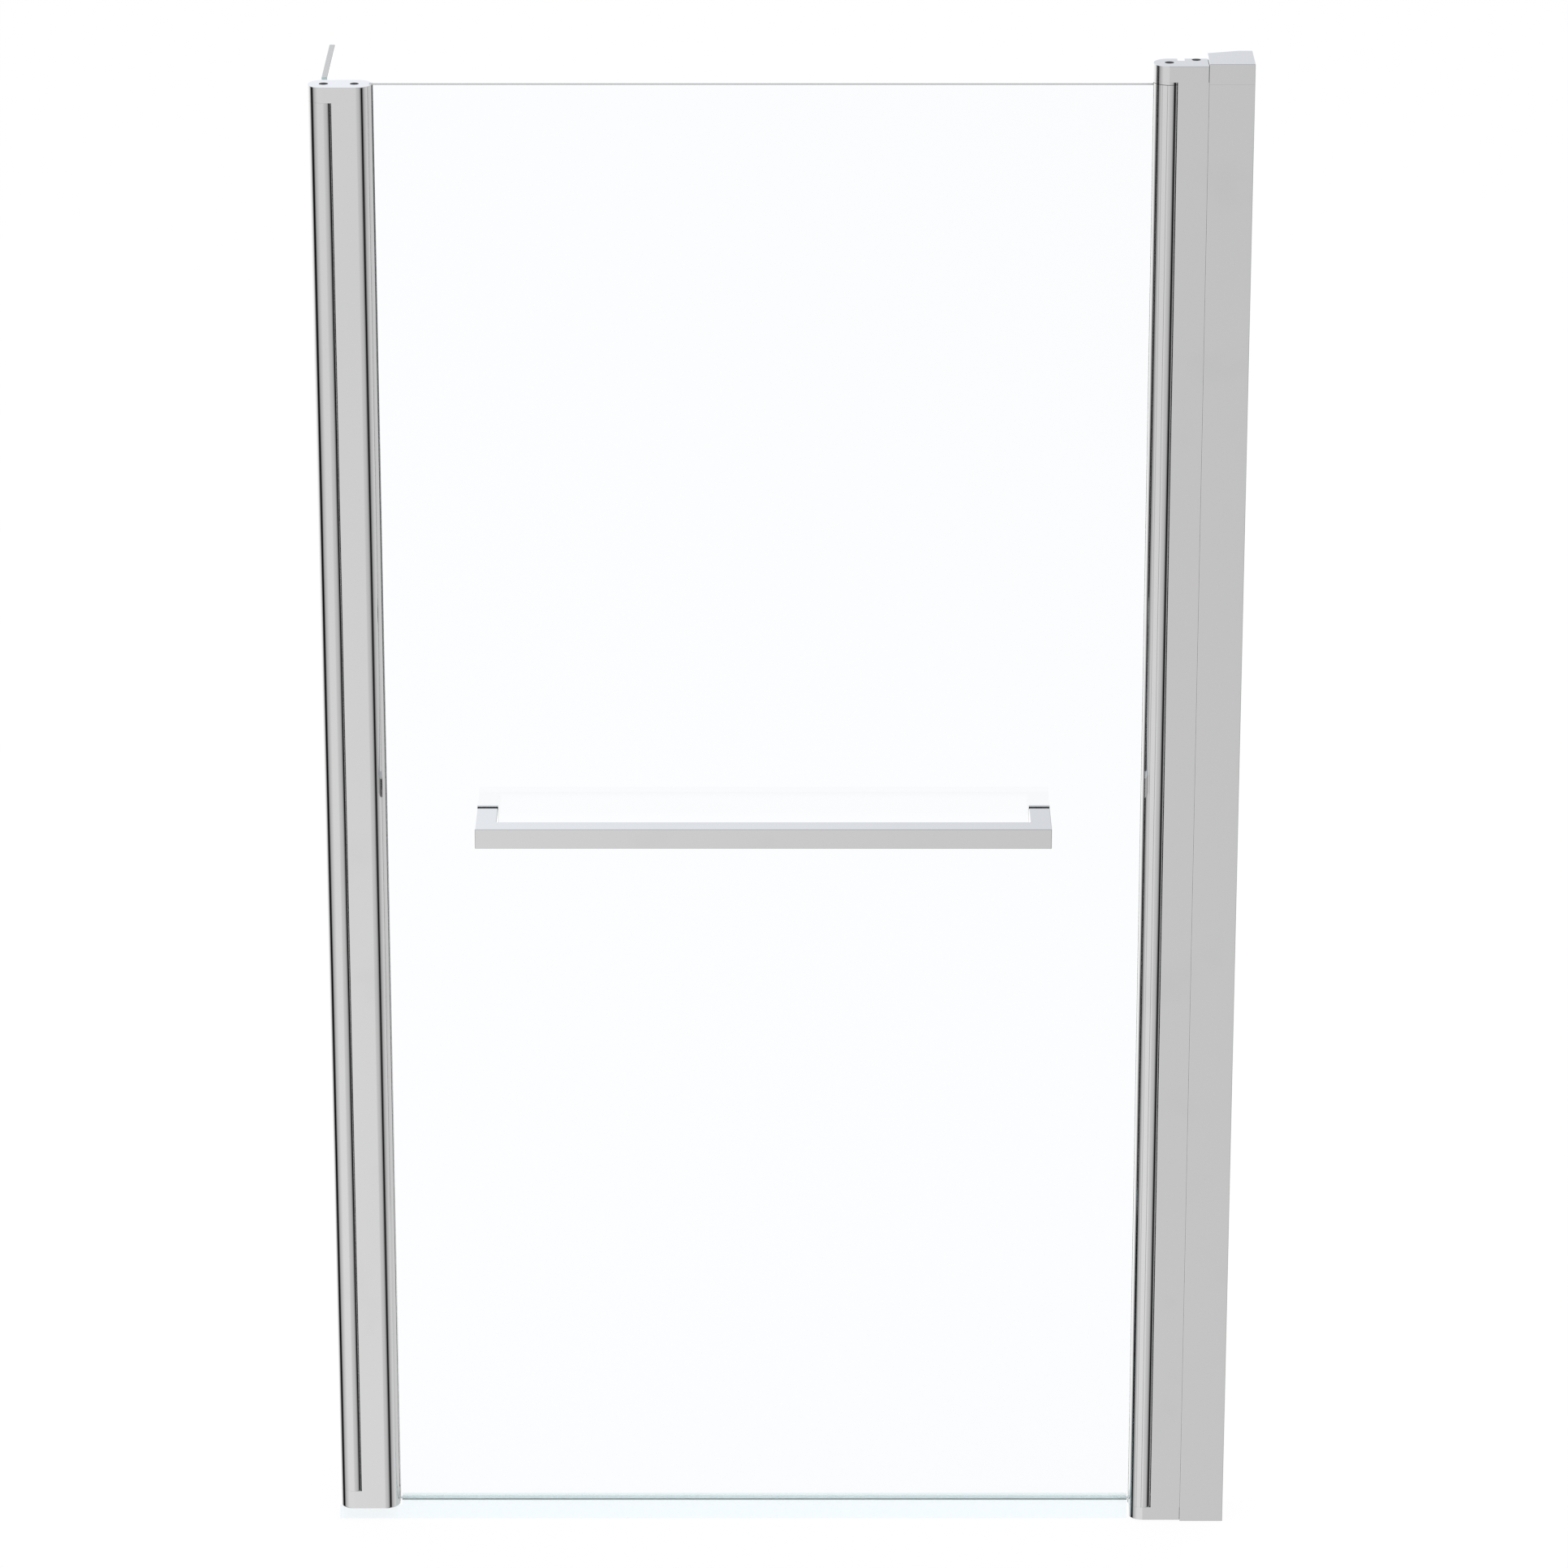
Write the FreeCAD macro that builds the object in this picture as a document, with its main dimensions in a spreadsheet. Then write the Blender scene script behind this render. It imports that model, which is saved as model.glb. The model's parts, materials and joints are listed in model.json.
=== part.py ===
import FreeCAD
import Part
import Sketcher
import math
import os

# Bath screen: two hinged glass panels in chrome posts, hung from a profile on the wall.
# Frame: the wall is X = 0 and the screen reaches towards -X, the main glass has its middle at Y = 0
# with +Y into the bath, and the bath rim is Z = 0.

# Driving sizes in millimetres.
SIZES = {
    # whole screen
    "screen_height": 1400.0,
    "main_pivot_from_wall": 74.3,
    "pivot_spacing": 737.5,
    "post_thickness": 28.0,
    "extrusion_wall": 2.0,
    "extrusion_edge": 0.5,
    # fits
    "turning_gap": 1.5,
    "knuckle_top_gap": 0.8,
    "knuckle_bottom_gap": 0.6,
    "swing_clearance": 0.8,
    "slide_clearance": 0.2,
    "seat_clearance": 0.05,
    # wall profile, its cover and its cap
    "wall_profile_width": 40.0,
    "wall_web": 2.5,
    "wall_hole_radius": 2.75,
    "wall_hole_from_end": 70.0,
    "cover_depth_at_wall": 34.0,
    "cover_depth_at_post": 25.5,
    "cover_flat": 12.0,
    "cover_wall": 1.6,
    "wall_cap_plug": 10.0,
    "wall_cap_edge": 0.5,
    # hinge post and its caps
    "post_top_drop": 2.0,
    "post_bottom_lift": 1.0,
    "post_top_cap": 16.7,
    "post_bottom_cap": 13.1,
    "tongue_from_wall": 16.0,
    "port_from_wall": 50.4,
    "port_from_back": 4.5,
    "port_wall": 1.6,
    "notch_from_pivot": 7.6,
    "notch_width": 5.7,
    "notch_depth": 7.4,
    "cap_edge": 0.5,
    "cap_seam_gap": 0.5,
    "cap_plug": 8.0,
    "cap_plug_width": 6.0,
    # screws that lock the post in the wall profile
    "locking_screw_radius": 2.0,
    "locking_screw_head_radius": 3.8,
    "locking_screw_head": 2.6,
    "locking_screw_reach": 8.0,
    "locking_screw_from_end": 140.0,
    # screws that hold the caps
    "cap_screw_radius": 2.0,
    "cap_screw_head_radius": 3.7,
    "cap_screw_head": 2.6,
    "cap_screw_sink": 3.0,
    "cap_screw_reach": 14.0,
    "screw_recess_depth": 1.2,
    "screw_recess_width": 0.9,
    # pins and bushes
    "pin_radius": 4.0,
    "pin_clearance": 0.05,
    "pin_sink": 5.0,
    "pin_reach": 18.0,
    "bush_wall": 1.0,
    "bush_length": 20.0,
    "bush_stands_out": 0.3,
    # knuckles
    "knuckle_wall": 1.8,
    "knuckle_floor": 1.5,
    "groove_width": 0.6,
    "groove_depth": 0.35,
    "outer_groove_from_pivot": 6.8,
    "inner_groove_from_pivot": 1.7,
    # strips that seal the turning gaps
    "hinge_seal_clearance": 0.35,
    # main glass and gaskets
    "glass_thickness": 5.0,
    "glass_bottom": 17.7,
    "panel_top_drop": 21.0,
    "glass_arris": 0.5,
    "gasket_wall": 1.5,
    "gasket_base": 1.0,
    "gasket_inset": 0.8,
    # return post and its caps
    "return_post_length": 28.8,
    "return_post_bottom": 12.3,
    "return_top_cap": 14.0,
    "return_bottom_cap": 18.4,
    "return_cap_foot_edge": 1.5,
    "glass_slot_depth": 10.85,
    "cap_slot_depth": 3.0,
    "port_overlap": 0.6,
    # return glass
    "return_length": 131.0,
    "return_glass_rise": 2.0,
    # bottom seals
    "seal_wall": 1.5,
    "seal_grip": 3.1,
    "seal_gap_at_post": 2.0,
    "return_seal_start": 17.6,
    "lip_thickness": 1.0,
    "lip_root": 3.4,
    "lip_tip": 9.0,
    "lip_above_rim": 0.4,
    # towel rail and its fixings
    "rail_length": 517.7,
    "rail_section": 19.0,
    "rail_reach": 58.5,
    "rail_height": 697.6,
    "rail_edge": 0.8,
    "rail_washer": 1.5,
    "rail_plate": 4.0,
    "rail_sleeve_wall": 1.5,
    "rail_bolt_radius": 3.0,
    "rail_bolt_head_radius": 5.0,
    "rail_bolt_head": 2.5,
    "rail_bolt_reach": 16.0,
}

# Driving angles in degrees, about a hinge's axis.
ANGLES = {
    "cavity_start": 14.0,
    "cavity_sweep": 116.0,
    "hinge_seal_start": 36.0,
    "hinge_seal_sweep": 22.0,
}

# How many screws hold the profile to the wall, and how many lock the post in it.
WALL_SCREWS = 4
LOCKING_SCREWS = 3

# The cross in a screw's head reaches this share of the head's radius.
RECESS_SHARE = 0.6

# A tool that cuts right through a piece starts and ends this far outside it.
CUT_MARGIN = 1.0

# Values closer than this are the same place.
SAME_PLACE = 1e-4

doc = FreeCAD.newDocument("bath_screen")
sheet = doc.addObject("Spreadsheet::Sheet", "Sizes")
for row, (alias, value) in enumerate({**SIZES, **ANGLES}.items(), start=1):
    sheet.set(f"A{row}", alias)
    sheet.set(f"B{row}", str(value))
    sheet.setAlias(f"B{row}", alias)
doc.recompute()


class Size:
    """A size worked out from the sheet: the expression that gives it, and its present value."""

    def __init__(self, text, value):
        self.text = text
        self.value = value

    @staticmethod
    def of(number):
        if isinstance(number, Size):
            return number
        return Size(f"({float(number)})", float(number))

    def __neg__(self):
        return Size(f"(-1 * {self.text})", -self.value)

    def __add__(self, other):
        other = Size.of(other)
        return Size(f"({self.text} + {other.text})", self.value + other.value)

    def __sub__(self, other):
        other = Size.of(other)
        return Size(f"({self.text} - {other.text})", self.value - other.value)

    def __mul__(self, other):
        other = Size.of(other)
        return Size(f"({self.text} * {other.text})", self.value * other.value)

    def __truediv__(self, other):
        other = Size.of(other)
        return Size(f"({self.text} / {other.text})", self.value / other.value)

    def __radd__(self, other):
        return Size.of(other) + self

    def __rsub__(self, other):
        return Size.of(other) - self

    def __rmul__(self, other):
        return Size.of(other) * self

    def sqrt(self):
        return Size(f"sqrt({self.text})", math.sqrt(self.value))


class Sheet:
    """Gives each named size of the sheet as a Size."""

    def __getattr__(self, alias):
        return Size(f"Sizes.{alias}", float(sheet.get(alias)))


S = Sheet()


def chord(radius, offset):
    """Half the chord of a circle at a distance from its centre."""
    return (radius * radius - offset * offset).sqrt()


# Places that several pieces share.
half_post = S.post_thickness / 2
half_glass = S.glass_thickness / 2
main_x = -S.main_pivot_from_wall
return_x = main_x - S.pivot_spacing
hollow_radius = half_post + S.turning_gap
hollow_edge = chord(hollow_radius, half_post)
hollow_back = chord(hollow_radius + S.extrusion_wall, half_post - S.extrusion_wall)

post_seam = -(S.wall_profile_width + S.slide_clearance)
post_top = S.screen_height - S.post_top_drop
post_body_top = post_top - S.post_top_cap
post_body_bottom = S.post_bottom_lift + S.post_bottom_cap
wall_cap_seam = post_body_top + S.slide_clearance
locking_x = -(S.tongue_from_wall + S.wall_profile_width) / 2
port_radius = S.cap_screw_radius + S.seat_clearance
port_outside = port_radius + S.port_wall
post_port = (-S.port_from_wall, half_post - S.port_from_back)

panel_top = S.screen_height - S.panel_top_drop
return_body_top = panel_top - S.return_top_cap
return_body_bottom = S.return_post_bottom + S.return_bottom_cap
return_end_x = return_x + S.return_post_length
return_tip_x = return_end_x + half_post
return_slot_x = return_tip_x - S.glass_slot_depth
return_port = (return_slot_x - S.extrusion_wall - port_outside + S.port_overlap, Size.of(0))

main_knuckle_span = (post_body_bottom + S.knuckle_bottom_gap, post_body_top - S.knuckle_top_gap)
return_knuckle_span = (return_body_bottom + S.knuckle_bottom_gap, return_body_top - S.knuckle_top_gap)
bush_outside = S.pin_radius + S.pin_clearance + S.bush_wall
knuckle_bore = bush_outside + S.seat_clearance
slot_floor = knuckle_bore + S.knuckle_floor
slot_half = half_glass + S.gasket_wall
glass_edge = slot_floor + S.gasket_base
past_cap = half_post + S.swing_clearance

rail_middle = (return_tip_x + main_x - half_post) / 2
rail_left = rail_middle - S.rail_length / 2
rail_right = rail_middle + S.rail_length / 2
rail_legs = (rail_left + S.rail_section / 2, rail_right - S.rail_section / 2)
rail_low = S.rail_height - S.rail_section / 2
rail_high = S.rail_height + S.rail_section / 2
rail_back = -(half_glass + S.rail_washer)
sleeve_inside = S.rail_bolt_radius + S.seat_clearance
sleeve_outside = sleeve_inside + S.rail_sleeve_wall
rail_hole = sleeve_outside + S.seat_clearance

pieces = []


def bind(thing, prop, size):
    """Ties a property to the expression of a size."""
    thing.setExpression(prop, Size.of(size).text)


def finished(thing, node):
    """Names a finished piece and keeps it for the export."""
    thing.Label = node
    pieces.append(thing)
    return thing


def place(thing, x, turn=0.0):
    """Moves a piece from its own frame to a pivot, turned about the pivot's axis."""
    about = FreeCAD.Rotation(FreeCAD.Vector(0, 0, 1), turn)
    thing.Placement = FreeCAD.Placement(FreeCAD.Vector(), about)
    bind(thing, "Placement.Base.x", x)


# Primitives and booleans.

def block(name, x, y, z):
    """A box between two values on each axis."""
    box = doc.addObject("Part::Box", name)
    for prop, axis, (low, high) in (("Length", "x", x), ("Width", "y", y), ("Height", "z", z)):
        bind(box, prop, Size.of(high) - low)
        bind(box, f"Placement.Base.{axis}", low)
    return box


# The turn that lays a cylinder's own Z along each axis.
LAY = {
    "x": FreeCAD.Rotation(FreeCAD.Vector(0, 1, 0), 90),
    "y": FreeCAD.Rotation(FreeCAD.Vector(1, 0, 0), -90),
    "z": FreeCAD.Rotation(),
}


def rod(name, radius, centre, span, along="z"):
    """A cylinder along an axis; centre gives the other two coordinates in X, Y, Z order."""
    cylinder = doc.addObject("Part::Cylinder", name)
    cylinder.Placement = FreeCAD.Placement(FreeCAD.Vector(), LAY[along])
    across = [axis for axis in "xyz" if axis != along]
    for axis, value in zip(across, centre):
        bind(cylinder, f"Placement.Base.{axis}", value)
    bind(cylinder, f"Placement.Base.{along}", span[0])
    bind(cylinder, "Radius", radius)
    bind(cylinder, "Height", Size.of(span[1]) - span[0])
    return cylinder


def sector(name, inner, outer, start, sweep, span):
    """Part of an upright ring about the origin, from a start angle through a sweep."""
    wedge = rod(name + "_wedge", outer, (0, 0), span)
    bind(wedge, "Angle", sweep)
    bind(wedge, "Placement.Rotation.Angle", start)
    core = rod(name + "_core", inner, (0, 0), (span[0] - CUT_MARGIN, span[1] + CUT_MARGIN))
    return cut(name, wedge, core)


def fuse(name, *shapes):
    joined = doc.addObject("Part::MultiFuse", name)
    joined.Shapes = list(shapes)
    return joined


def cut(name, base, *tools):
    left = doc.addObject("Part::Cut", name)
    left.Base = base
    left.Tool = tools[0] if len(tools) == 1 else fuse(name + "_tools", *tools)
    return left


def group(name, shapes):
    """Like pieces kept together as separate solids."""
    together = doc.addObject("Part::Compound", name)
    together.Links = list(shapes)
    return together


# Sketches, pads and pockets.

def new_body(node):
    return finished(doc.addObject("PartDesign::Body", node), node)


def sketch_on(body, name, role, offset):
    """A sketch on one of the body's own planes, moved along the plane's normal."""
    plane = next(feature for feature in body.Origin.OriginFeatures if feature.Role == role)
    sketch = body.newObject("Sketcher::SketchObject", name)
    sketch.AttachmentSupport = [(plane, "")]
    sketch.MapMode = "FlatFace"
    bind(sketch, "AttachmentOffset.Base.z", offset)
    return sketch


def fix(sketch, kind, where, size):
    """Adds one constraint and ties it to a size."""
    index = sketch.addConstraint(Sketcher.Constraint(kind, *where, size.value))
    bind(sketch, f"Constraints[{index}]", size)


def draw_loop(sketch, corners):
    """A closed loop. A corner is x, y, and if a centre and a turn follow, an arc leads on from it.

    The turn is 1 for an arc drawn anticlockwise and -1 for clockwise. The last edge is straight.
    """
    corners = [tuple(Size.of(value) for value in corner[:2]) + tuple(corner[2:]) for corner in corners]
    edges = []
    for corner, following in zip(corners, corners[1:] + corners[:1]):
        start = FreeCAD.Vector(corner[0].value, corner[1].value, 0)
        end = FreeCAD.Vector(following[0].value, following[1].value, 0)
        if len(corner) == 2:
            edges.append((sketch.addGeometry(Part.LineSegment(start, end)), 1, 2))
            continue
        centre = FreeCAD.Vector(*(Size.of(value).value for value in corner[2]), 0)
        ends = (start, end) if corner[3] > 0 else (end, start)
        angles = [math.atan2(point.y - centre.y, point.x - centre.x) for point in ends]
        circle = Part.Circle(centre, FreeCAD.Vector(0, 0, 1), (start - centre).Length)
        arc = sketch.addGeometry(Part.ArcOfCircle(circle, *angles))
        edges.append((arc, 1, 2) if corner[3] > 0 else (arc, 2, 1))
    for (edge, _, tail), (after, head, _) in zip(edges, edges[1:] + edges[:1]):
        sketch.addConstraint(Sketcher.Constraint("Coincident", edge, tail, after, head))
    before = corners[-1]
    for corner, (edge, head, _) in zip(corners, edges):
        free = ""
        if len(before) > 2:
            # An arc's end is held by the arc, so only the coordinate that runs along it is fixed.
            across = [abs(corner[axis].value - Size.of(before[2][axis]).value) for axis in (0, 1)]
            free = "DistanceX" if across[0] > across[1] else "DistanceY"
        for kind, value in zip(("DistanceX", "DistanceY"), corner):
            if kind != free:
                fix(sketch, kind, (edge, head), value)
        if len(corner) > 2:
            for kind, value in zip(("DistanceX", "DistanceY"), corner[2]):
                fix(sketch, kind, (edge, 3), Size.of(value))
        before = corner


def draw_circle(sketch, x, y, radius):
    x, y, radius = (Size.of(value) for value in (x, y, radius))
    circle = Part.Circle(FreeCAD.Vector(x.value, y.value, 0), FreeCAD.Vector(0, 0, 1), radius.value)
    edge = sketch.addGeometry(circle)
    fix(sketch, "DistanceX", (edge, 3), x)
    fix(sketch, "DistanceY", (edge, 3), y)
    fix(sketch, "Radius", (edge,), radius)


def sketch_shapes(sketch, loops, circles):
    for loop in loops:
        draw_loop(sketch, loop)
    for circle in circles:
        draw_circle(sketch, *circle)


# Role of the plane square to each axis. The XZ plane faces -Y.
PLANE = {"x": "YZ_Plane", "y": "XZ_Plane", "z": "XY_Plane"}


def add_pad(body, name, along, span, loops=(), circles=()):
    """Material between two values on an axis."""
    low, high = (Size.of(value) for value in span)
    sketch = sketch_on(body, name + "_sketch", PLANE[along], -high if along == "y" else low)
    sketch_shapes(sketch, loops, circles)
    pad = body.newObject("PartDesign::Pad", name)
    pad.Profile = sketch
    bind(pad, "Length", high - low)
    return pad


def add_pocket(body, name, along, span, loops=(), circles=()):
    """A cut between two values on an axis."""
    low, high = (Size.of(value) for value in span)
    sketch = sketch_on(body, name + "_sketch", PLANE[along], -low if along == "y" else high)
    sketch_shapes(sketch, loops, circles)
    pocket = body.newObject("PartDesign::Pocket", name)
    pocket.Profile = sketch
    bind(pocket, "Length", high - low)
    return pocket


def lies_at(edge, axis, value):
    """True if all of an edge has one value on an axis."""
    box = edge.BoundBox
    ends = {"x": (box.XMin, box.XMax), "y": (box.YMin, box.YMax), "z": (box.ZMin, box.ZMax)}[axis]
    return all(abs(end - Size.of(value).value) < SAME_PLACE for end in ends)


def edges_at(feature, places):
    """Names of a feature's edges that lie at any of the places, each a value on one axis or more."""
    doc.recompute()
    names = []
    for index, edge in enumerate(feature.Shape.Edges, start=1):
        if any(all(lies_at(edge, *at) for at in place.items()) for place in places):
            names.append(f"Edge{index}")
    return names


def round_edges(body, name, feature, places, radius):
    fillet = body.newObject("PartDesign::Fillet", name)
    fillet.Base = (feature, edges_at(feature, places))
    bind(fillet, "Radius", radius)


def bevel_edges(body, name, feature, places, size):
    chamfer = body.newObject("PartDesign::Chamfer", name)
    chamfer.Base = (feature, edges_at(feature, places))
    bind(chamfer, "Size", size)


def uprights(corners):
    """The places of the upright edges at some corners of a section."""
    return [{"x": x, "y": y} for x, y in corners]


def rectangle(x, y):
    return [(x[0], y[0]), (x[1], y[0]), (x[1], y[1]), (x[0], y[1])]


def u_channel(mouth, floor, inside_floor, outside, inside):
    """The section of a channel that opens from its floor towards its mouth, both values of X."""
    return [
        (mouth, -outside), (floor, -outside), (floor, outside), (mouth, outside),
        (mouth, inside), (inside_floor, inside), (inside_floor, -inside), (mouth, -inside),
    ]


# Wall profile, its cover and its cap.

def even_heights(count, from_end):
    """Heights spread evenly over the screen, with the first and the last at a distance from its ends."""
    step = (S.screen_height - from_end * 2) / (count - 1)
    return [from_end + step * number for number in range(count)]


def locking_heights():
    return even_heights(LOCKING_SCREWS, S.locking_screw_from_end)


def make_wall_profile():
    """A channel for the post's tongue, and a web that runs on along the wall behind it."""
    body = new_body("wall_profile")
    width = S.wall_profile_width
    inside = half_post - S.extrusion_wall
    web_end = S.cover_depth_at_wall - S.cover_wall
    section = [
        (-width, -half_post), (0, -half_post), (0, web_end), (-S.wall_web, web_end),
        (-S.wall_web, half_post), (-width, half_post), (-width, inside),
        (-S.wall_web, inside), (-S.wall_web, -inside), (-width, -inside),
    ]
    bar = add_pad(body, "wall_profile_section", "z", (0, wall_cap_seam), [section])
    round_edges(body, "wall_profile_edges", bar, uprights([(-width, -half_post), (0, -half_post)]),
                S.extrusion_edge)
    heights = even_heights(WALL_SCREWS, S.wall_hole_from_end)
    wall_holes = [(0, height, S.wall_hole_radius) for height in heights]
    add_pocket(body, "wall_screw_holes", "x", (-S.wall_web - CUT_MARGIN, 0), circles=wall_holes)
    radius = S.locking_screw_radius + S.seat_clearance
    locking_holes = [(locking_x, height, radius) for height in locking_heights()]
    add_pocket(body, "profile_locking_holes", "y", (inside - CUT_MARGIN, half_post + CUT_MARGIN),
               circles=locking_holes)


def make_wall_profile_cover():
    """A bent strip that rests on the end of the web and on the channel's back wall."""
    body = new_body("wall_profile_cover")
    left = -S.wall_profile_width
    section = [
        (left, half_post), (left, S.cover_depth_at_post), (-S.cover_flat, S.cover_depth_at_wall),
        (0, S.cover_depth_at_wall), (0, S.cover_depth_at_wall - S.cover_wall),
        (-S.cover_flat, S.cover_depth_at_wall - S.cover_wall),
        (left + S.cover_wall, S.cover_depth_at_post - S.cover_wall), (left + S.cover_wall, half_post),
    ]
    strip = add_pad(body, "cover_section", "z", (0, wall_cap_seam), [section])
    round_edges(body, "cover_bends", strip, uprights([section[1], section[2]]), S.extrusion_edge)


def make_wall_profile_top_cap():
    """A cap with the outline of the profile and its cover, and a plug in the space behind the cover."""
    body = new_body("wall_profile_top_cap")
    left = -S.wall_profile_width
    outline = [
        (left, -half_post), (0, -half_post), (0, S.cover_depth_at_wall),
        (-S.cover_flat, S.cover_depth_at_wall), (left, S.cover_depth_at_post),
    ]
    top = add_pad(body, "wall_cap_block", "z", (wall_cap_seam, S.screen_height), [outline])
    round_edges(body, "wall_cap_edges", top, [{"z": S.screen_height}, *uprights(outline)], S.wall_cap_edge)
    plug_x = (left + S.cover_wall + S.slide_clearance, -S.wall_web - S.slide_clearance)
    plug_y = (half_post + S.slide_clearance, S.cover_depth_at_post - S.cover_wall - S.slide_clearance)
    add_pad(body, "wall_cap_plug", "z", (wall_cap_seam - S.wall_cap_plug, wall_cap_seam),
            [rectangle(plug_x, plug_y)])


# Hinge post and its caps.

def make_hinge_post():
    """Hollow towards the knuckle, closed front and back, with a two-legged tongue in the wall profile."""
    body = new_body("hinge_post")
    wall = S.extrusion_wall
    tongue = half_post - wall - S.slide_clearance
    tip = -S.tongue_from_wall
    inside = half_post - wall
    about = (main_x, 0)
    section = [
        (post_seam, -half_post), (post_seam, -tongue), (tip, -tongue), (tip, wall - tongue),
        (post_seam - wall, wall - tongue), (post_seam - wall, -inside),
        (main_x + hollow_back, -inside, about, 1), (main_x + hollow_back, inside),
        (post_seam - wall, inside), (post_seam - wall, tongue - wall), (tip, tongue - wall),
        (tip, tongue), (post_seam, tongue), (post_seam, half_post),
        (main_x + hollow_edge, half_post, about, -1), (main_x + hollow_edge, -half_post),
    ]
    span = (post_body_bottom, post_body_top)
    bar = add_pad(body, "post_section", "z", span, [section])
    round_edges(body, "post_edges", bar, uprights([(post_seam, -half_post), (post_seam, half_post)]),
                S.extrusion_edge)
    add_pad(body, "post_port", "z", span, circles=[(*post_port, port_outside)])
    add_pocket(body, "post_port_bore", "z", (span[0] - CUT_MARGIN, span[1] + CUT_MARGIN),
               circles=[(*post_port, port_radius)])
    radius = S.locking_screw_radius + S.seat_clearance
    holes = [(locking_x, height, radius) for height in locking_heights()]
    add_pocket(body, "post_locking_holes", "y", (tongue - wall - CUT_MARGIN, tongue + CUT_MARGIN),
               circles=holes)


def make_cap(node, outline, span, outward, pivot, port, plugs, rim=S.cap_edge, square_corners=()):
    """A post cap: outward is 1 if its outer face is the upper one, and -1 if it is the lower one."""
    body = new_body(node)
    low, high = span
    outer, inner = (high, low) if outward > 0 else (low, high)
    cap = add_pad(body, node + "_block", "z", span, [outline])
    round_edges(body, node + "_rim", cap, [{"z": outer}, *uprights(square_corners)], rim)
    plug_span = (inner - S.cap_plug, inner) if outward > 0 else (inner, inner + S.cap_plug)
    for number, plug in enumerate(plugs):
        add_pad(body, f"{node}_plug{number}", "z", plug_span, [plug])
    through = (low - CUT_MARGIN, high + CUT_MARGIN)
    head_room = S.cap_screw_sink + S.cap_screw_head
    sunk = (outer - head_room, outer) if outward > 0 else (outer, outer + head_room)
    pin_hole = (pivot, 0, S.pin_radius + S.seat_clearance)
    add_pocket(body, node + "_bores", "z", through,
               circles=[pin_hole, (*port, port_radius + S.slide_clearance)])
    add_pocket(body, node + "_head_room", "z", sunk,
               circles=[(*port, S.cap_screw_head_radius + S.slide_clearance)])
    return body


def make_hinge_post_caps():
    """Round over the knuckle, square towards the wall, with a notch in the back edge."""
    notch = (main_x + S.notch_from_pivot, main_x + S.notch_from_pivot + S.notch_width)
    notch_floor = half_post - S.notch_depth
    end = post_seam - S.cap_seam_gap
    outline = [
        (end, half_post), (notch[1], half_post), (notch[1], notch_floor), (notch[0], notch_floor),
        (notch[0], half_post), (main_x, half_post, (main_x, 0), 1), (main_x, -half_post),
        (end, -half_post),
    ]
    square_corners = [outline[0], outline[-1]]
    inside = half_post - S.extrusion_wall - S.slide_clearance
    plug_right = post_seam - S.extrusion_wall - S.slide_clearance
    plug = rectangle((plug_right - S.cap_plug_width, plug_right), (-inside, 0))
    make_cap("hinge_post_top_cap", outline, (post_body_top, post_top), 1, main_x, post_port, [plug],
             square_corners=square_corners)
    make_cap("hinge_post_bottom_cap", outline, (S.post_bottom_lift, post_body_bottom), -1,
             main_x, post_port, [plug], square_corners=square_corners)


# Return post and its caps.

def make_return_post():
    """Hollow towards the return knuckle, round towards the glass, with a slot for the glass's edge."""
    body = new_body("return_post")
    wall = S.extrusion_wall
    inside = half_post - wall
    mouth = return_end_x + chord(half_post, slot_half)
    floor_back = return_slot_x - wall
    hollow = (return_x, 0)
    end = (return_end_x, 0)
    outside = [
        (return_slot_x, slot_half), (mouth, slot_half, end, 1), (return_end_x, half_post),
        (return_x + hollow_edge, half_post, hollow, -1), (return_x + hollow_edge, -half_post),
        (return_end_x, -half_post, end, 1), (mouth, -slot_half), (return_slot_x, -slot_half),
    ]
    cavity = [
        (floor_back, -inside), (floor_back, inside),
        (return_x + hollow_back, inside, hollow, -1), (return_x + hollow_back, -inside),
    ]
    span = (return_body_bottom, return_body_top)
    through = (span[0] - CUT_MARGIN, span[1] + CUT_MARGIN)
    add_pad(body, "return_post_section", "z", span, [outside])
    add_pocket(body, "return_post_cavity", "z", through, [cavity])
    add_pad(body, "return_post_port", "z", span, circles=[(*return_port, port_outside)])
    add_pocket(body, "return_post_port_bore", "z", through, circles=[(*return_port, port_radius)])


def make_return_post_caps():
    """Round at both ends, with a slot for the corner of the glass."""
    half_slot = half_glass + S.slide_clearance
    slot = rectangle((return_tip_x - S.cap_slot_depth, return_tip_x + CUT_MARGIN), (-half_slot, half_slot))
    pivot = (return_x, 0)
    end = (return_end_x, 0)
    outline = [
        (return_x, half_post, pivot, 1), (return_x, -half_post),
        (return_end_x, -half_post, end, 1), (return_end_x, half_post),
    ]
    inside = half_post - S.extrusion_wall - S.slide_clearance
    beside_port = port_outside + S.slide_clearance
    plug_right = return_slot_x - S.extrusion_wall - S.slide_clearance
    plug_x = (plug_right - S.cap_plug_width, plug_right)
    plugs = [rectangle(plug_x, (beside_port, inside)), rectangle(plug_x, (-inside, -beside_port))]
    for node, span, outward, rim in (
        ("return_post_top_cap", (return_body_top, panel_top), 1, S.cap_edge),
        ("return_post_bottom_cap", (S.return_post_bottom, return_body_bottom), -1, S.return_cap_foot_edge),
    ):
        body = make_cap(node, outline, span, outward, return_x, return_port, plugs, rim)
        add_pocket(body, node + "_glass_slot", "z", (span[0] - CUT_MARGIN, span[1] + CUT_MARGIN), [slot])


# Screws, pins and bushes.

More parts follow.
